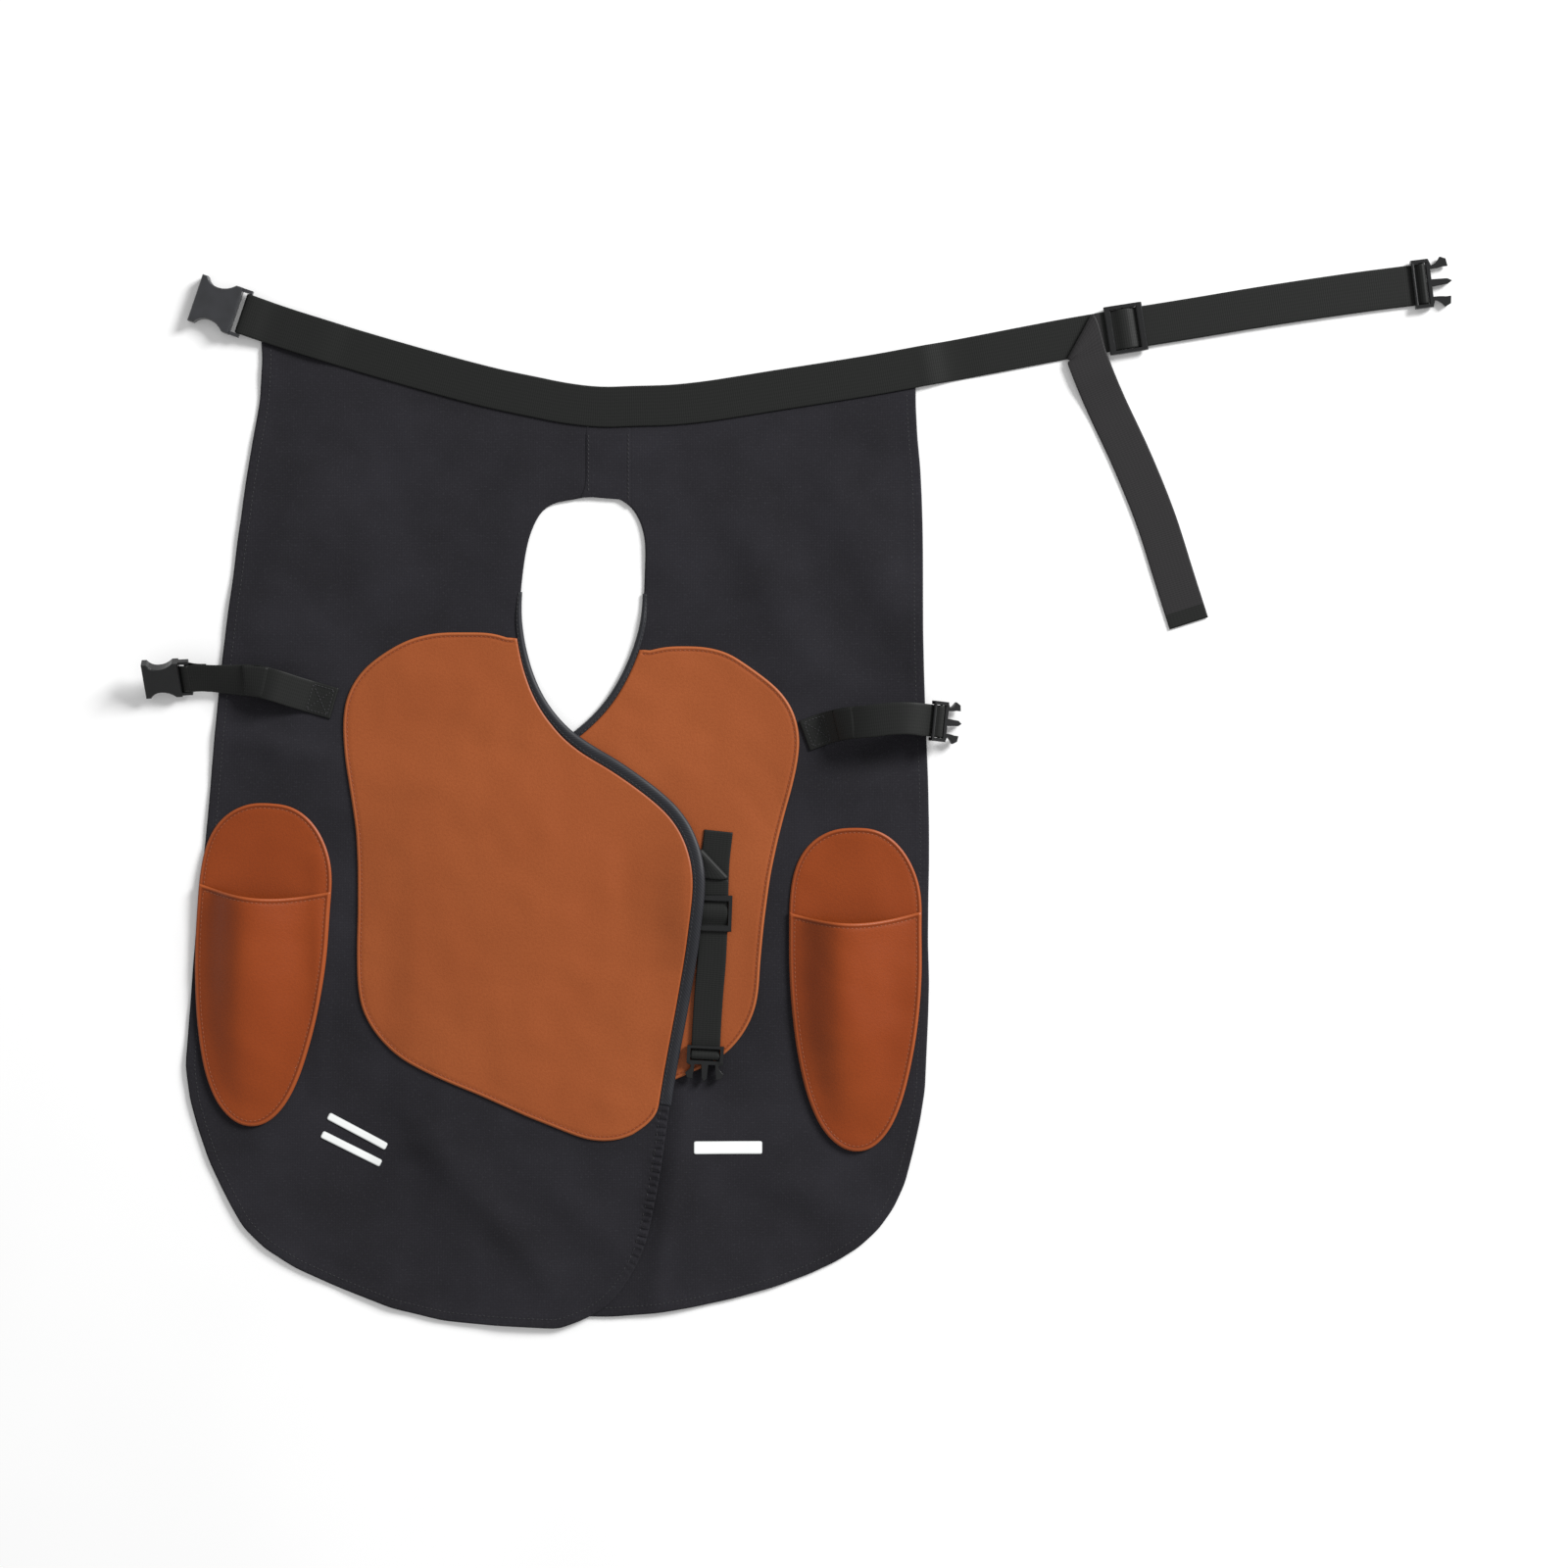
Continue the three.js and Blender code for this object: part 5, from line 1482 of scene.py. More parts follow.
@dataclass
class CanvasPanel:
    """One leg panel: a sheet of canvas with a turned hem, a stitch line and a bound inner edge."""

    side: Side
    ground: Ground
    belt_line: np.ndarray
    cloth_mm: float = 1.2
    hem_mm: float = 12.0
    hem_depth: float = 2.4
    hem_stitch: float = 8.3
    edge_round: float = 0.7
    pucker_mm: float = 7.0
    pucker_rise: float = 0.16
    loose_pucker_rise: float = 1.6
    loose_from: float = -462.0
    loose_to: float = -425.0
    # Where the puckers rise and where they have died out, in from the edge
    pucker_rises: tuple[float, float] = (0.2, 1.6)
    pucker_fades: tuple[float, float] = (6.0, 11.0)
    stitch_dip: float = 0.35
    stitch_dip_width: float = 0.9
    hem_rise: float = 0.5
    hem_fades: tuple[float, float] = (9.0, 15.0)
    round_in: float = 1.3
    belt_covers: float = 24.0
    bound_from: float = -294.8
    bound_to: float = 189.0

    def __post_init__(self) -> None:
        """Reads the outline."""
        self.node = f"panel_{self.side.value}"
        self.outline = plan_outline(self.node, 2.5, corner_deg=25.0, passes=8)
        middle = (self.outline[:, 0].min() + self.outline[:, 0].max()) / 2
        self.middle_x = float(middle)

    def inner(self, points: np.ndarray) -> np.ndarray:
        """Tells which outline points are on the side of the other panel."""
        return points[:, 0] > self.middle_x if self.side is Side.LEFT else points[:, 0] < self.middle_x

    def bound(self, points: np.ndarray) -> np.ndarray:
        """Tells which outline points the binding covers."""
        return self.inner(points) & (points[:, 1] > self.bound_from) & (points[:, 1] < self.bound_to)

    def belted(self, points: np.ndarray) -> np.ndarray:
        """Tells which outline points are under the belt."""
        return placed(points, self.belt_line, closed=False).away < self.belt_covers

    def hemmed(self, place: Place) -> np.ndarray:
        """Tells which points are nearest to a hemmed edge."""
        above = self.inner(place.nearest) & (place.nearest[:, 1] > self.bound_from)
        return ~(above | self.belted(place.nearest))

    def top(self, place: Place) -> np.ndarray:
        """Gives the upper face, with its rounded edge and its puckered hem.

        Args:
            place: Points of the plan, and where they are to the outline.

        Returns:
            One height for each point, in millimetres.
        """
        height = self.ground(place.points)
        hem = self.hemmed(place)
        loose = soft_step(place.nearest[:, 1], self.loose_from, self.loose_to) * self.inner(place.nearest)
        rise = self.pucker_rise + (self.loose_pucker_rise - self.pucker_rise) * loose
        wave = np.sin(2 * math.pi * place.along / self.pucker_mm)
        window = soft_step(place.away, *self.pucker_rises) * (1 - soft_step(place.away, *self.pucker_fades))
        height += np.where(hem, rise * wave * window, 0.0)
        seat = np.exp(-(((place.away - self.hem_stitch) / self.stitch_dip_width) ** 2))
        height -= np.where(hem, self.stitch_dip * seat, 0.0)
        height += np.where(hem, self.hem_rise * (1 - soft_step(place.away, *self.hem_fades)), 0.0)
        return height - self.edge_round * (1 - soft_step(place.away, 0.0, self.round_in))

    def under(self, place: Place) -> np.ndarray:
        """Gives the lower face, thicker where the hem is turned under.

        Args:
            place: Points of the plan, and where they are to the outline.

        Returns:
            One height for each point, in millimetres.
        """
        depth = np.where(self.hemmed(place) & (place.away < self.hem_mm), self.hem_depth, self.cloth_mm)
        under = self.ground(place.points) - depth + 0.3 * (1 - soft_step(place.away, 0.0, 1.0))
        return np.maximum(under, 0.0)

    def stitch_rows(self) -> list[np.ndarray]:
        """Gives the lines of stitches along the hem, at the height of the cloth.

        Returns:
            One line of points for each run of the hem.
        """
        line = inset(self.outline, self.hem_stitch)
        place = placed(line, self.outline)
        keep = self.hemmed(place) & (place.away > 0.95 * self.hem_stitch)
        line = np.column_stack([line, self.top(place)])
        start = int(np.flatnonzero(~keep)[0])
        line, keep = np.roll(line, -start, axis=0), np.roll(keep, -start)
        breaks = np.flatnonzero(np.diff(keep.astype(int))) + 1
        runs = zip(np.split(line, breaks), np.split(keep, breaks))
        return [run for run, kept in runs if kept[0] and len(run) > 4]

    def build(self, finishes: Finishes) -> None:
        """Builds the canvas and sews its hem.

        Args:
            finishes: The apron's materials.
        """
        Sheet(self.node + "_canvas", self.node, self.outline, self.top, self.under).build(
            finishes.canvas, Slot.CANVAS
        )
        Stitches().build(
            f"hem_stitches_{self.side.value}", self.stitch_rows(), finishes.dark_thread, Slot.CANVAS
        )


@dataclass
class CentreSeam:
    """The canvas strip that covers the seam between the panels, from the belt to the leg opening."""

    panel: CanvasPanel
    left_x: float = -199.6
    right_x: float = -158.0
    top_y: float = 343.0
    low_y: float = 255.0
    # The strip widens over the end of the seam, just above the leg opening
    foot: tuple[tuple[float, float], ...] = ((-199.6, 296.0), (-200.6, 287.0), (-204.5, 276.8))
    opening_y: float = 277.3
    cloth_mm: float = 0.45
    tucked_mm: float = 0.22
    # Where the strip thins out under the belt
    thins: tuple[float, float] = (333.0, 341.0)
    edge_round: float = 0.25
    sewn_in: float = 2.2
    sewn_to: float = 338.0
    foot_clear: float = 5.0

    def top(self, place: Place) -> np.ndarray:
        """Gives the upper face, which thins out where the belt crosses it.

        Args:
            place: Points of the plan, and where they are to the outline.

        Returns:
            One height for each point, in millimetres.
        """
        cloth = self.tucked_mm + self.cloth_mm * (1 - soft_step(place.points[:, 1], *self.thins))
        rounded = self.edge_round * (1 - soft_step(place.away, 0.0, 1.0))
        return self.panel.ground(place.points) + cloth - rounded

    def under(self, place: Place) -> np.ndarray:
        """Gives the lower face."""
        return self.panel.ground(place.points) - 0.2

    def build(self, finishes: Finishes) -> None:
        """Builds the strip and sews it down along both sides.

        Args:
            finishes: The apron's materials.
        """
        edge = self.panel.outline
        inside = (edge[:, 0] < self.right_x) & (edge[:, 1] > self.low_y) & (edge[:, 1] < self.opening_y)
        low = edge[inside]
        low = low[np.argsort(low[:, 0])]
        corners = [(self.right_x, self.top_y), (self.left_x, self.top_y), *self.foot]
        line = np.vstack([corners, low, [(self.right_x, low[-1, 1])]])
        outline = resampled(line, 2.0, closed=True)
        Sheet("centre_seam_strip", "", outline, self.top, self.under, spacing=3.0).build(
            finishes.canvas, Slot.CANVAS
        )
        rows = []
        for x in (self.left_x + self.sewn_in, self.right_x - self.sewn_in):
            bottom = np.interp(x, low[:, 0], low[:, 1]) + self.foot_clear
            row = np.array([(x, y) for y in np.arange(bottom, self.sewn_to, 2.0)])
            rows.append(np.column_stack([row, self.top(placed(row, outline))]))
        Stitches().build("centre_seam_stitches", rows, finishes.dark_thread, Slot.CANVAS)


@dataclass(frozen=True)
class TapeWidth:
    """How much of the binding shows in plan: less round the leg opening, where it is pulled tight."""

    full_mm: float = 10.0
    # Row y and width at it, both in millimetres
    left: tuple[tuple[float, float], ...] = ((38, 10.0), (62, 8.0), (105, 6.2), (160, 4.6), (189, 2.4))
    right: tuple[tuple[float, float], ...] = ((10, 10.0), (45, 5.6), (105, 5.2), (160, 4.6), (189, 2.4))

    def at(self, side: Side, y: np.ndarray) -> np.ndarray:
        """Gives the width that shows.

        Args:
            side: The panel.
            y: Where, along the row's Y axis, in millimetres.

        Returns:
            One width for each place.
        """
        stops = np.array(self.left if side is Side.LEFT else self.right)
        return np.interp(y, stops[:, 0], stops[:, 1])


@dataclass
class EdgeBinding(Piece):
    """Woven tape folded round a panel's inner edge and sewn through."""

    panel: CanvasPanel
    shows: TapeWidth = TapeWidth()
    # The section: distance in from the edge, and height over the canvas, in millimetres
    section: tuple[tuple[float, float], ...] = (
        (10.0, 0.35),
        (10.0, 0.95),
        (9.4, 1.25),
        (7.9, 1.1),
        (7.0, 1.35),
        (5.2, 1.9),
        (3.2, 2.05),
        (1.2, 1.7),
        (-0.3, 0.9),
        (-1.15, -0.1),
        (-1.25, -1.0),
        (-0.6, -2.0),
        (0.6, -2.45),
        (9.4, -2.5),
        (10.0, -2.2),
        (10.0, -1.6),
        (0.4, -1.5),
        (-0.3, -0.6),
        (0.3, 0.2),
    )
    stitch_mm: float = 7.9
    stitch_rise: float = 1.15
    end_mm: float = 26.0
    flat_end: float = 0.15
    # The tape takes its height from the canvas this far in, where that is no longer rounded off
    seat_in: float = 2.5

    def run(self) -> np.ndarray:
        """Gives the bound part of the panel's edge, in plan.

        Returns:
            The points of the edge, in order.
        """
        edge = self.panel.outline
        keep = self.panel.bound(edge)
        start = int(np.flatnonzero(~keep)[0])
        edge, keep = np.roll(edge, -start, axis=0), np.roll(keep, -start)
        first = int(np.flatnonzero(keep)[0])
        return smoothed(edge[first : first + int(keep.sum())], 6)

    def frames(self) -> tuple[np.ndarray, np.ndarray]:
        """Gives the bound edge and the direction into the panel at each of its points.

        Returns:
            The points, and one unit direction for each.
        """
        line = self.run()
        ahead = np.gradient(line, axis=0)
        ahead /= np.linalg.norm(ahead, axis=1, keepdims=True)
        return line, np.column_stack([-ahead[:, 1], ahead[:, 0]])

    def build(self, finishes: Finishes) -> None:
        """Builds the tape and its stitches.

        Args:
            finishes: The apron's materials.
        """
        side = self.panel.side.value
        line, inward = self.frames()
        rings = []
        share = self.shows.at(self.panel.side, line[:, 1])[:, None] / self.shows.full_mm
        ends = np.minimum(line[:, 1].max() - line[:, 1], (line[:, 1] - line[:, 1].min()) * 2)
        fullness = self.flat_end + (1 - self.flat_end) * soft_step(ends, 0.0, self.end_mm)
        for away, rise in self.section:
            reach_in = away * share if away > 0 and rise > 0 else away
            plan = line + inward * reach_in
            seat = line + inward * np.maximum(reach_in, self.seat_in)
            height = rise * fullness if rise > 0 else rise
            rings.append(np.column_stack([plan, self.panel.ground(seat) + height]))
        band = np.stack(rings, axis=1)
        size = band.shape[1]
        faces: list[Sequence[int]] = []
        for row in range(len(band) - 1):
            for column in range(size):
                other = (column + 1) % size
                a, b = row * size + column, row * size + other
                faces.append((a, a + size, b + size, b))
        faces.append(tuple(range(size)))
        faces.append(tuple((len(band) - 1) * size + column for column in reversed(range(size))))
        section = np.array(self.section)
        girth = np.concatenate([[0.0], np.cumsum(np.linalg.norm(np.diff(section, axis=0), axis=1))])
        reach = np.concatenate([[0.0], np.cumsum(np.linalg.norm(np.diff(line, axis=0), axis=1))])
        layers = {"strap": np.column_stack([np.tile(girth, len(band)), np.repeat(reach, size)])}
        name = f"binding_{side}"
        piece = self.made(name + "_tape", band.reshape(-1, 3), faces, finishes.tape, Slot.TAPE, layers)
        self.turn_outwards(piece.data)
        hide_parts(name)
        # The section goes once round the tape, so the tape's own width is half of that
        row = line + inward * self.stitch_mm * share
        row = np.column_stack([row, self.panel.ground(row) + self.stitch_rise * fullness])
        Stitches().build(f"binding_stitches_{side}", [row], finishes.dark_thread, Slot.TAPE)


@dataclass
class LeatherPiece:
    """A flat piece of leather sewn on a panel: its edge is turned, and stitches sit in a groove."""

    node: str
    ground: Callable[[np.ndarray], np.ndarray]
    slot: Slot
    leather_mm: float = 1.8
    lift_mm: float = 0.3
    bead_mm: float = 0.45
    bead_at: float = 1.7
    groove_mm: float = 0.5
    groove_at: float = 3.7
    edge_round: float = 0.9
    round_in: float = 1.2
    bead_width: float = 0.9
    groove_width: float = 0.8
    spacing: float = 5.0
    # Distances from the binding at which the outline follows it, and no longer does
    drawn_in: tuple[float, float] = (11.0, 15.0)
    hem_clear: float = 9.8
    hem_clear_over: float = 8.0
    eased: int = 30
    eased_over: float = 4.0
    eased_near: float = 30.0
    binding: EdgeBinding | None = None

    def __post_init__(self) -> None:
        """Reads the outline, and takes it up to the binding where that shows narrower."""
        self.outline = plan_outline(self.node, 2.5)
        if self.binding:
            place = placed(self.outline, self.binding.run(), closed=False)
            shows, side = self.binding.shows, self.binding.panel.side
            towards = (place.nearest - self.outline) / np.maximum(place.away, 1e-6)[:, None]
            near = 1 - soft_step(place.away, *self.drawn_in)
            shift = (shows.full_mm - shows.at(side, self.outline[:, 1])) * near
            self.outline = self.outline + towards * shift[:, None]
            edge = placed(self.outline, self.binding.panel.outline)
            bound_from = self.binding.panel.bound_from
            low = self.outline[:, 1] < bound_from + self.hem_clear_over
            short = np.where(low, np.maximum(self.hem_clear - edge.away, 0.0), 0.0)
            inwards = (self.outline - edge.nearest) / np.maximum(edge.away, 1e-6)[:, None]
            self.outline = self.outline + inwards * short[:, None]
            # The corner that the push leaves is eased, and only that one
            near = (self.outline[:, 1] < bound_from + self.eased_over) & (edge.away < self.eased_near)
            for _ in range(self.eased):
                beside = (np.roll(self.outline, 1, axis=0) + np.roll(self.outline, -1, axis=0)) / 2
                self.outline = np.where(near[:, None], (self.outline + beside) / 2, self.outline)

    def free(self, place: Place) -> np.ndarray:
        """Tells which points are nearest to an edge that shows, and not to one under the binding.

        Args:
            place: Points of the plan, and where they are to the outline.

        Returns:
            One truth value for each.
        """
        if self.binding is None:
            return np.ones(len(place.points), dtype=bool)
        run = self.binding.run()
        gap = placed(place.nearest, resampled(run, 5.0), closed=False).away
        return gap > self.binding.shows.at(self.binding.panel.side, place.nearest[:, 1]) + 1.0

    def top(self, place: Place) -> np.ndarray:
        """Gives the upper face, with its bead and its stitch groove.

        Args:
            place: Points of the plan, and where they are to the outline.

        Returns:
            One height for each point, in millimetres.
        """
        height = self.ground(place.points) + self.lift_mm + self.leather_mm
        bead = self.bead_mm * np.exp(-(((place.away - self.bead_at) / self.bead_width) ** 2))
        groove = self.groove_mm * np.exp(-(((place.away - self.groove_at) / self.groove_width) ** 2))
        height += np.where(self.free(place), bead - groove, 0.0)
        return height - self.edge_round * (1 - soft_step(place.away, 0.0, self.round_in))

    def under(self, place: Place) -> np.ndarray:
        """Gives the lower face."""
        return self.ground(place.points) + self.lift_mm

    def stitch_rows(self) -> list[np.ndarray]:
        """Gives the line of stitches in the groove.

        Returns:
            The line of points, in a list of its own.
        """
        ring = inset(self.outline, self.groove_at)
        place = placed(ring, self.outline)
        keep = (place.away > 0.9 * self.groove_at) & self.free(place)
        ring = np.column_stack([ring, self.top(place)])
        if self.binding is None:
            ring = ring[keep]
            return [np.vstack([ring, ring[:1]])]
        start = int(np.flatnonzero(~self.free(place))[0])
        ring, keep = np.roll(ring, -start, axis=0), np.roll(keep, -start)
        return [ring[keep]]

    def build(self, finishes: Finishes) -> None:
        """Builds the leather and sews it.

        Args:
            finishes: The apron's materials.
        """
        leather = finishes.patch if self.slot is Slot.PATCH else finishes.pocket
        Sheet(
            self.node + "_leather",
            self.node,
            self.outline,
            self.top,
            self.under,
            spacing=self.spacing,
            free=self.free,
        ).build(leather, self.slot)
        Stitches().build(self.node + "_stitches", self.stitch_rows(), finishes.tan_thread, self.slot)


@dataclass
class ToolPocket:
    """A leather tool pocket: a flat back, and a front that stands away from it."""

    side: Side
    ground: Ground
    leather_mm: float = 1.8
    lift_mm: float = 0.3
    clear_mm: float = 0.1
    edge_round: float = 0.8
    round_in: float = 1.1
    bead_mm: float = 0.4
    bead_at: float = 1.8
    bead_width: float = 0.9
    groove_mm: float = 0.45
    groove_at: float = 4.6
    groove_width: float = 0.8
    seam_inset: float = 0.5
    fullness: float = 1.16
    spacing: float = 3.0
    insets: tuple[float, ...] = (0.0, 0.15, 0.5, 1.1, 2.0, 3.0, 4.2, 5.5, 7.5)

    def front_outline(self, node: str, back: np.ndarray) -> np.ndarray:
        """Joins the mouth of the CAD front to the edge of the back, which it is sewn along.

        Args:
            node: The CAD node of the front.
            back: The outline of the back.

        Returns:
            The front's outline, counter-clockwise.
        """
        front = plan_outline(node, 2.0)
        right = int(np.argmax(front[:, 0] + 2 * front[:, 1]))
        front = np.roll(front, -right, axis=0)
        left = int(np.argmax(2 * front[:, 1] - front[:, 0]))
        mouth = front[: left + 1]
        edge = inset(back, self.seam_inset)
        start = int(np.argmin(np.linalg.norm(edge - mouth[-1], axis=1)))
        edge = np.roll(edge, -start, axis=0)
        stop = int(np.argmin(np.linalg.norm(edge - mouth[0], axis=1)))
        return np.vstack([mouth[1:-1], edge[: stop + 1]])

    def build(self, finishes: Finishes) -> None:
        """Builds the back, the front and their stitches.

        Args:
            finishes: The apron's materials.
        """
        side = self.side.value
        back = LeatherPiece(f"pocket_back_{side}", self.ground, Slot.POCKET, groove_at=self.groove_at)
        back.build(finishes)
        node = f"pocket_front_{side}"
        self.outline = self.front_outline(node, back.outline)
        self.height = NodeHeight(node, self.spacing, passes=16)
        Sheet(
            node + "_leather",
            node,
            self.outline,
            self.top,
            self.under,
            spacing=self.spacing,
            insets=self.insets,
        ).build(finishes.pocket, Slot.POCKET)
        ring = inset(self.outline, self.groove_at)
        place = placed(ring, self.outline)
        ring = np.column_stack([ring, self.top(place)])[place.away > 0.9 * self.groove_at]
        Stitches().build(
            node + "_stitches", [np.vstack([ring, ring[:1]])], finishes.tan_thread, Slot.POCKET
        )

    def face(self, points: np.ndarray) -> np.ndarray:
        """Gives the height of the front over the plan, a little fuller than its CAD node.

        Args:
            points: Places in plan, one row each.

        Returns:
            One height for each, in millimetres.
        """
        seat = self.ground.height(points) + 2 * self.leather_mm
        bulge = np.maximum(self.height(points) - seat, 0.0) * (self.fullness - 1)
        return self.height(points) + self.ground.drape(points) + bulge

    def top(self, place: Place) -> np.ndarray:
        """Gives the front's outer face.

        Args:
            place: Points of the plan, and where they are to the outline.

        Returns:
            One height for each point, in millimetres.
        """
        height = self.face(place.points)
        height += self.bead_mm * np.exp(-(((place.away - self.bead_at) / self.bead_width) ** 2))
        height -= self.groove_mm * np.exp(-(((place.away - self.groove_at) / self.groove_width) ** 2))
        return height - self.edge_round * (1 - soft_step(place.away, 0.0, self.round_in))

    def under(self, place: Place) -> np.ndarray:
        """Gives the front's inner face, clear of the back.

        Args:
            place: Points of the plan, and where they are to the outline.

        Returns:
            One height for each point, in millimetres.
        """
        inner = self.face(place.points) - self.leather_mm
        back = self.ground(place.points) + self.lift_mm + self.leather_mm
        return np.maximum(inner, back + self.clear_mm)


@dataclass
class MarkerStrip:
    """A short bright strip sewn flat on the canvas."""

    node: str
    ground: Ground
    tape_mm: float = 0.8
    lift_mm: float = 0.3
    corner_mm: float = 1.8
    edge_round: float = 0.35
    round_in: float = 0.8

    def build(self, finishes: Finishes) -> None:
        """Builds the strip and sews it.

        Args:
            finishes: The apron's materials.
        """
        outline = self.cut(plan_outline(self.node, 1.2, passes=0))
        shape = Sheet(
            self.node + "_tape",
            self.node,
            outline,
            self.top,
            self.under,
            spacing=1.6,
            insets=(0.0, 0.15, 0.5, 1.1, 2.0),
        )
        shape.build(finishes.strip, Slot.STRIP)

    def cut(self, outline: np.ndarray) -> np.ndarray:
        """Cuts the tape as long and as wide as its CAD node, with small rounded corners.

        Args:
            outline: The node's outline.

        Returns:
            The tape's outline, counter-clockwise.
        """
        middle = (outline.max(axis=0) + outline.min(axis=0)) / 2
        run = np.linalg.svd(outline - middle)[2][0]
        aside = np.array([-run[1], run[0]])
        half = np.array([np.ptp(outline @ run), np.ptp(outline @ aside)]) / 2 - self.corner_mm
        turns = np.linspace(0, math.pi / 2, 6)
        corners = []
        for quarter, (along, across) in enumerate(((1, 1), (-1, 1), (-1, -1), (1, -1))):
            angle = turns + quarter * math.pi / 2
            x = along * half[0] + self.corner_mm * np.cos(angle)
            y = across * half[1] + self.corner_mm * np.sin(angle)
            corners.append(middle + x[:, None] * run + y[:, None] * aside)
        return resampled(np.vstack(corners), 0.8, closed=True)

    def top(self, place: Place) -> np.ndarray:
        """Gives the upper face, sunk a little towards its sewn edge."""
        sunk = self.edge_round * (1 - soft_step(place.away, 0.0, self.round_in))
        return self.ground(place.points) + self.lift_mm + self.tape_mm - sunk

    def under(self, place: Place) -> np.ndarray:
        """Gives the lower face."""
        return self.ground(place.points) + self.lift_mm


@dataclass
class Hardware:
    """A moulded buckle half or slider: the CAD solid itself, with rounded edges."""

    node: str
    round_mm: float = 0.5
    round_steps: int = 3
    # Edges that turn more sharply than this are rounded
    sharp_deg: float = 32.0
    weld_mm: float = 0.01
    # Whether it takes the acetal whose lighter grey is a painted sheen
    painted_sheen: bool = False

    def build(self, finishes: Finishes) -> None:
        """Rounds the moulding's edges and gives it its plastic.

        Args:
            finishes: The apron's materials.
        """
        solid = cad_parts[self.node]
        for place in range(len(solid.material_slots)):
            solid.material_slots[place].material = finishes.painted_sheen if self.painted_sheen else finishes.plastic
        weld = solid.modifiers.new("weld", "WELD")
        weld.merge_threshold = self.weld_mm * MM
        bevel = solid.modifiers.new("rounded_edges", "BEVEL")
        bevel.width = self.round_mm * MM
        bevel.segments = self.round_steps
        bevel.limit_method = "ANGLE"
        bevel.angle_limit = math.radians(self.sharp_deg)
        log.info("%s: edges rounded %.1f mm", self.node, self.round_mm)


@dataclass
class WaistBelt:
    """The belt: webbing along the waist, its socket, its slider and its plug."""

    webbing: Strap

    def build(self, finishes: Finishes) -> None:
        """Builds the webbing and its mouldings.

        Args:
            finishes: The apron's materials.
        """
        before_slider = float(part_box("waist_slider")[0][0]) / MM
        line = self.webbing.centre()[:, 0]
        plug = int(line.argmax())
        turned = plug + int(np.flatnonzero(line[plug:] < before_slider)[0])
        # The tail past the slider takes the paler copy of the webbing
        self.webbing.build(finishes.webbing, finishes.reverse, float(self.webbing.along[turned]))
        # The socket takes the acetal painted a lighter grey as sheen
        Hardware("waist_buckle_socket", painted_sheen=True).build(finishes)
        for node in ("waist_slider", "waist_buckle_plug"):
            Hardware(node).build(finishes)


def box_rows(
    strap: Strap, start: float, end: float, margin: float = 0.1, points: int = 12
) -> list[np.ndarray]:
    """Gives the lines of a box stitch that sews a strap down.

    Args:
        strap: The webbing.
        start: Where the box begins along it, in millimetres.
        end: Where it ends.
        margin: Share of the width left clear at each selvage.
        points: How many points each line has.

    Returns:
        Its four sides and its two diagonals.
    """
    corners = [(start, margin), (end, margin), (end, 1 - margin), (start, 1 - margin)]
    pairs = [(0, 1), (1, 2), (2, 3), (3, 0), (0, 2), (1, 3)]
    rows = []
    for a, b in pairs:
        along = np.linspace(corners[a][0], corners[b][0], points)
        across = np.linspace(corners[a][1], corners[b][1], points)
        rows.append(strap.on_face(along, across))
    return rows


@dataclass
class FoldLip(Piece):
    """The rounded lip where a strap is folded over itself and laid back along its own face."""

    strap: Strap
    at: float
    # Sign of the direction along the strap in which the upper layer runs
    towards: float
    # The lip's profile: distance past the fold, and height over the strap's face, in millimetres
    profile: tuple[tuple[float, float], ...] = (
        (0.9, -0.3),
        (0.2, 0.3),
        (0.0, 0.9),
        (0.3, 1.5),
        (1.1, 1.9),
        (3.0, 1.9),
        (7.0, 1.5),
        (12.0, 0.9),
        (18.0, 0.3),
        (23.0, -0.2),
    )
    columns: int = 13
    margin: float = 0.012
    word: str = "fold"
    level: float = 0.0

    def build(self, material: bpy.types.Material) -> bpy.types.Object:
        """Builds the lip.

        Args:
            material: The webbing.

        Returns:
            The new object.
        """
        across = np.linspace(self.margin, 1 - self.margin, self.columns)
        rows, flat = [], []
        for past, rise in self.profile:
            along = np.full(self.columns, self.at + self.towards * past)
            row = self.strap.on_face(along, across, self.level)
            row[:, 2] += rise
            rows.append(row)
            flat.append(np.column_stack([across * self.strap.width, along]))
        low = [row - (0.0, 0.0, 0.5) for row in (rows[0], rows[-1])]
        points = np.vstack([*rows, *low])
        count, width = len(self.profile), self.columns
        faces: list[Sequence[int]] = []
        for row in range(count - 1):
            for column in range(width - 1):
                a = row * width + column
                faces.append((a, a + 1, a + width + 1, a + width))
        first, last = count * width, (count + 1) * width
        for column in range(width - 1):
            faces.append((column + 1, column, first + column, first + column + 1))
            a = (count - 1) * width + column
            faces.append((a, a + 1, last + column + 1, last + column))
            faces.append((first + column + 1, first + column, last + column, last + column + 1))
        for column, turned in ((0, 1), (width - 1, -1)):
            side = [row * width + column for row in range(count)]
            ring = [*side, last + column, first + column]
            faces.append(tuple(ring[::turned]))
        layers = {"strap": np.vstack([*flat, flat[0], flat[-1]])}
        name = self.strap.name.replace("webbing", self.word)
        piece = self.made(name, points, faces, material, Slot.WEBBING, layers)
        self.turn_outwards(piece.data)
        return piece


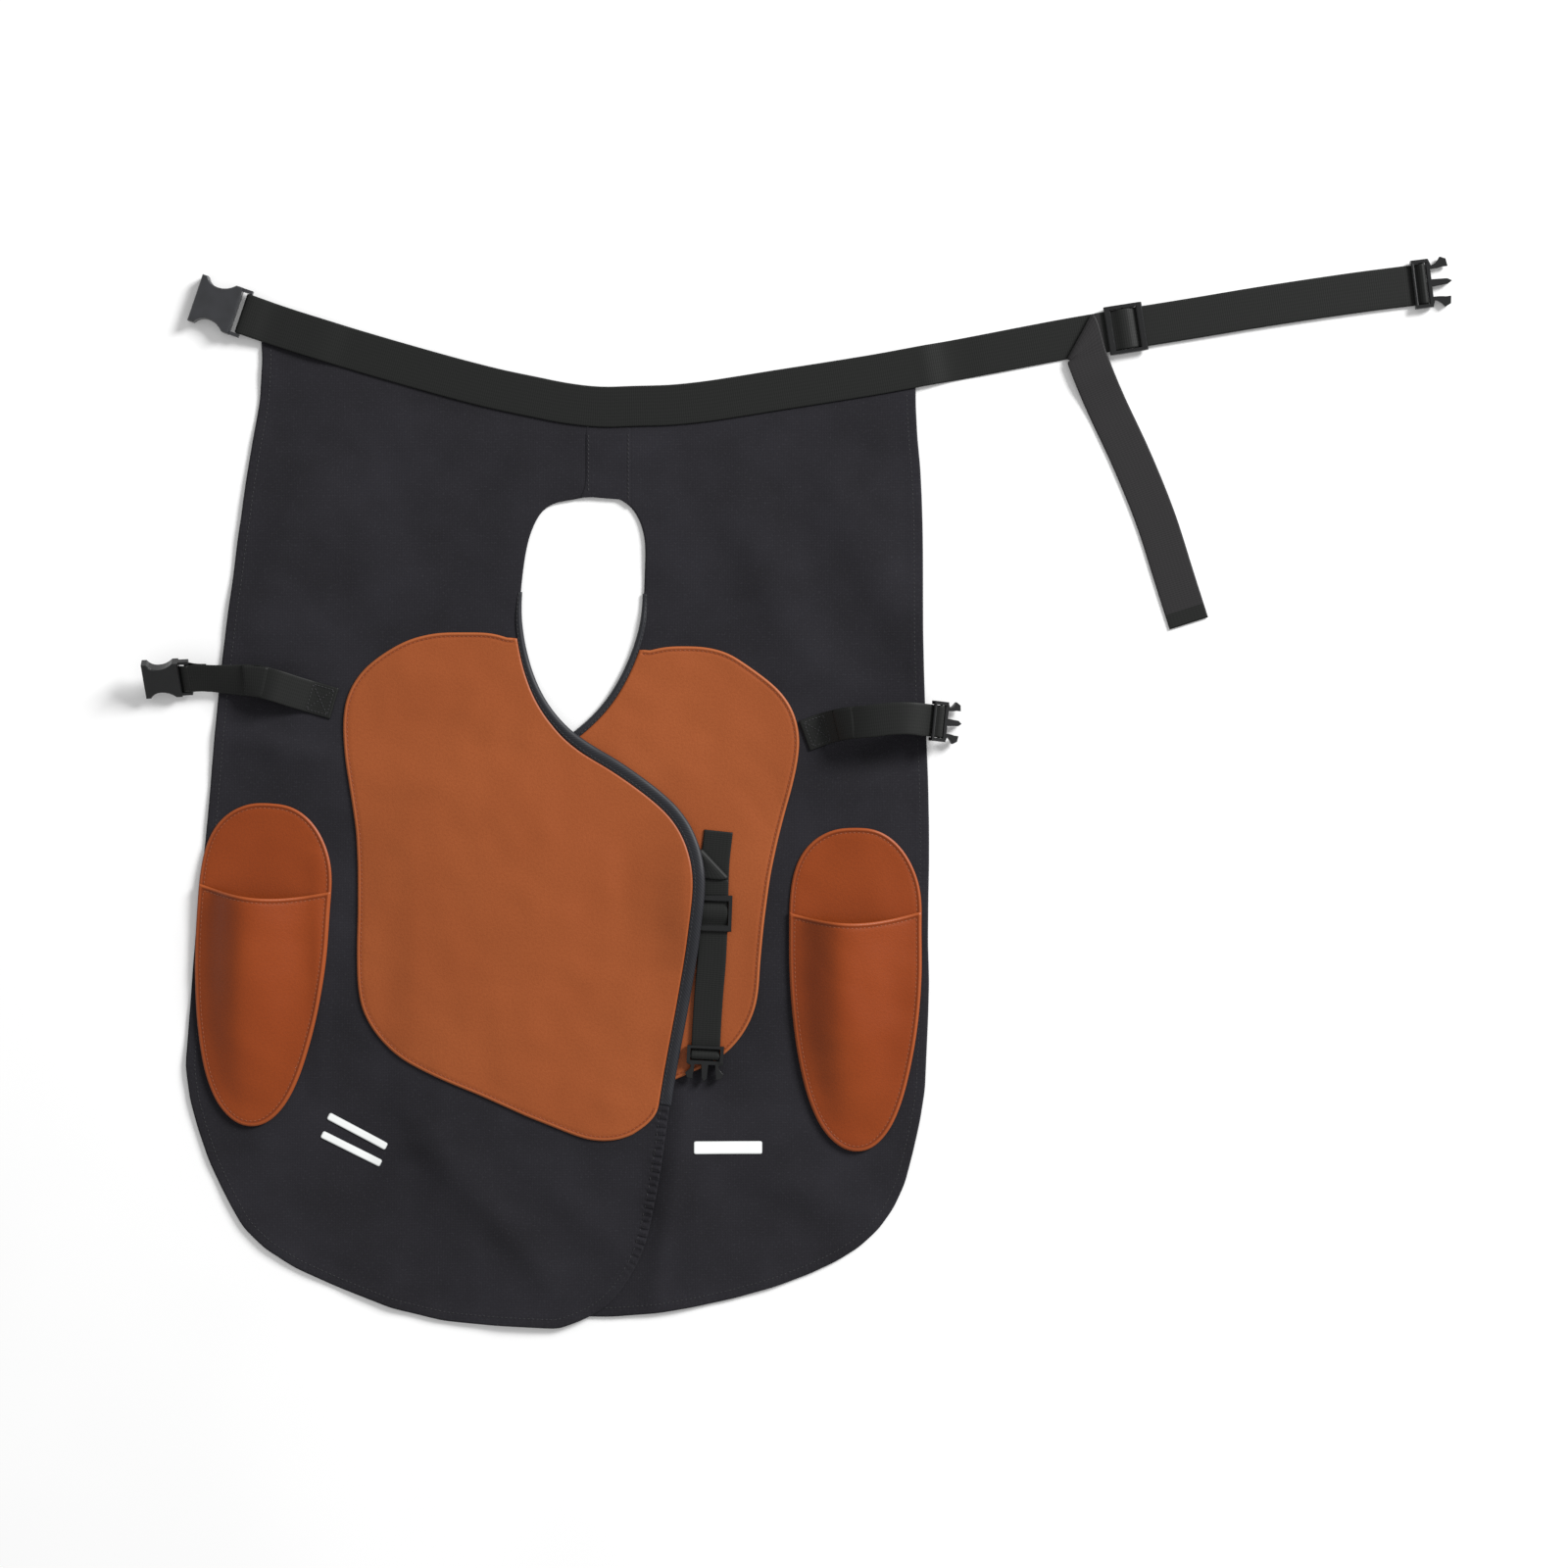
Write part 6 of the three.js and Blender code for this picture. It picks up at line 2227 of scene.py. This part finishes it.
@dataclass
class LegStrap:
    """A short strap sewn to a panel's outer edge, with its half of a buckle."""

    webbing: Strap
    buckle: str
    fold_at: float
    # Sign of the direction from the fold in which the upper layer runs, away from the sewn end
    fold_outwards: float
    box_from: float = 4.0
    box_to: float = 24.0
    # The loop that fills the buckle's slot: distance past its start, and height over the strap's face
    loop: tuple[tuple[float, float], ...] = ()
    loop_from: float = 5.0

    def build(self, finishes: Finishes) -> None:
        """Builds the webbing, the box stitch at its sewn end and its moulding.

        Args:
            finishes: The apron's materials.
        """
        self.webbing.build(finishes.webbing)
        buckle_x = (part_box(self.buckle)[0][0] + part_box(self.buckle)[1][0]) / 2 / MM
        gaps = np.abs(self.webbing.centre()[:, 0] - buckle_x)
        starts_at_buckle = gaps[0] < gaps[-1]
        near, far = self.box_from, self.box_to
        fold, towards = self.fold_at, self.fold_outwards
        if starts_at_buckle:
            near, far = self.webbing.length - far, self.webbing.length - near
            fold, towards = self.webbing.length - fold, -towards
        FoldLip(self.webbing, fold, towards).build(finishes.webbing)
        if self.loop:
            away = np.linalg.norm(self.webbing.centre() - self.webbing.centre()[-1], axis=1)
            start = float(self.webbing.along[int(away.argmax())]) + self.loop_from
            FoldLip(self.webbing, start, -1.0, self.loop, word="loop", level=start).build(finishes.webbing)
        Stitches(pitch=3.4, length=2.6).build(
            self.webbing.name.replace("webbing", "stitches"),
            box_rows(self.webbing, near, far),
            finishes.dark_thread,
            Slot.WEBBING,
        )
        Hardware(self.buckle).build(finishes)


# The turn of webbing in the leg socket's slot: distance past its start, height over the strap
SOCKET_LOOP = ((-1.0, -0.2), (1.5, 0.35), (4.0, 0.45), (6.5, 0.1), (8.5, -0.7), (9.8, -2.2), (10.2, -4.5))


@dataclass
class InnerStrap:
    """The narrow strap inside the left leg, with its slider and its plug."""

    webbing: Strap

    def build(self, finishes: Finishes) -> None:
        """Builds the webbing and its mouldings.

        Args:
            finishes: The apron's materials.
        """
        self.webbing.build(finishes.webbing)
        for node in ("inner_slider", "inner_buckle_plug"):
            Hardware(node, round_mm=0.35).build(finishes)


@dataclass(frozen=True)
class Studio:
    """The pale floor, the key light, the white sky and the camera over them, in metres."""

    camera_height: float = 3.0
    sensor_mm: float = 36.0
    centre: tuple[float, float] = (-0.014, 0.0082)
    floor_drop: float = 0.0008
    floor_size: float = 8.0
    key_place: tuple[float, float, float] = (5.3, 4.2, 3.9)
    key_size: float = 2.6
    key_watts: float = 790.0
    sky_strength: float = 0.48

    def camera(self) -> None:
        """Sets the camera straight over the apron, so that its frame is the photograph's."""
        width = PHOTO_WIDTH_PX * PHOTO_MM_PER_PX * MM
        data = bpy.data.cameras.new("over_apron")
        data.sensor_width = self.sensor_mm
        data.lens = self.sensor_mm * self.camera_height / width
        data.clip_end = 50
        camera = bpy.data.objects.new("over_apron", data)
        camera.location = (*self.centre, self.camera_height)
        bpy.context.collection.objects.link(camera)
        bpy.context.scene.camera = camera

    def floor(self) -> None:
        """Lays the pale floor just under the apron."""
        half = self.floor_size / 2
        corners = [(-half, -half, 0), (half, -half, 0), (half, half, 0), (-half, half, 0)]
        mesh = bpy.data.meshes.new("pale_floor")
        mesh.from_pydata(corners, [], [(0, 1, 2, 3)])
        floor = bpy.data.objects.new("pale_floor", mesh)
        floor.location.z = -self.floor_drop
        bpy.context.collection.objects.link(floor)
        mesh.materials.append(MattePaper().make())

    def lights(self) -> None:
        """Hangs one broad key light and lets a white sky fill the shadows."""
        world = bpy.data.worlds.new("white_sky")
        world.use_nodes = True
        sky = world.node_tree.nodes["Background"]
        sky.inputs["Color"].default_value = (1.0, 1.0, 1.0, 1.0)
        sky.inputs["Strength"].default_value = self.sky_strength
        bpy.context.scene.world = world
        data = bpy.data.lights.new("key", "AREA")
        data.shape = "SQUARE"
        data.size = self.key_size
        data.energy = self.key_watts
        light = bpy.data.objects.new("key", data)
        light.location = self.key_place
        light.rotation_euler = Vector(self.key_place).to_track_quat("Z", "Y").to_euler()
        bpy.context.collection.objects.link(light)

    def build(self) -> None:
        """Sets the camera, the floor and the lights, and shows colours as they are."""
        self.camera()
        self.floor()
        self.lights()
        bpy.context.scene.view_settings.view_transform = "Standard"


@dataclass
class Apron:
    """The whole apron, built from the panels up."""

    finishes: Finishes = field(default_factory=Finishes)

    def build(self) -> None:
        """Builds every sub-assembly in the order in which it is sewn."""
        belt = Strap("waist_belt_webbing", "waist_webbing", rests_on=("panel_left", "panel_right"))
        leg_left = Strap("leg_strap_left_webbing", "leg_strap_left", rests_on=("panel_left",))
        leg_right = Strap("leg_strap_right_webbing", "leg_strap_right", rests_on=("panel_right",))
        inner = Strap("inner_strap_webbing", "inner_strap", rests_on=("panel_right",))
        straps = (belt, leg_left, leg_right, inner)
        drape = Drape(tuple(resampled(strap.centre(), 12.0) for strap in straps))
        grounds = {side: Ground(side, drape) for side in Side}
        for side in Side:
            panel = CanvasPanel(side, grounds[side], resampled(belt.centre(), 12.0))
            panel.build(self.finishes)
            binding = EdgeBinding(panel)
            binding.build(self.finishes)
            LeatherPiece(
                f"thigh_patch_{side.value}", grounds[side], Slot.PATCH, binding=binding
            ).build(self.finishes)
            ToolPocket(side, grounds[side]).build(self.finishes)
            if side is Side.RIGHT:
                CentreSeam(panel).build(self.finishes)
        WaistBelt(belt).build(self.finishes)
        LegStrap(leg_left, "leg_buckle_socket", 90.0, -1.0, loop=SOCKET_LOOP).build(self.finishes)
        LegStrap(leg_right, "leg_buckle_plug", 34.0, 1.0).build(self.finishes)
        InnerStrap(inner).build(self.finishes)
        for node, side in (
            ("marker_strip_left_upper", Side.LEFT),
            ("marker_strip_left_lower", Side.LEFT),
            ("marker_strip_right", Side.RIGHT),
        ):
            MarkerStrip(node, grounds[side]).build(self.finishes)


def main() -> None:
    """Builds the studio and the apron, logging the points and faces of each piece."""
    logging.basicConfig(level=logging.INFO, format="%(message)s")
    Studio().build()
    Apron().build()


if __name__ == "__main__":
    main()
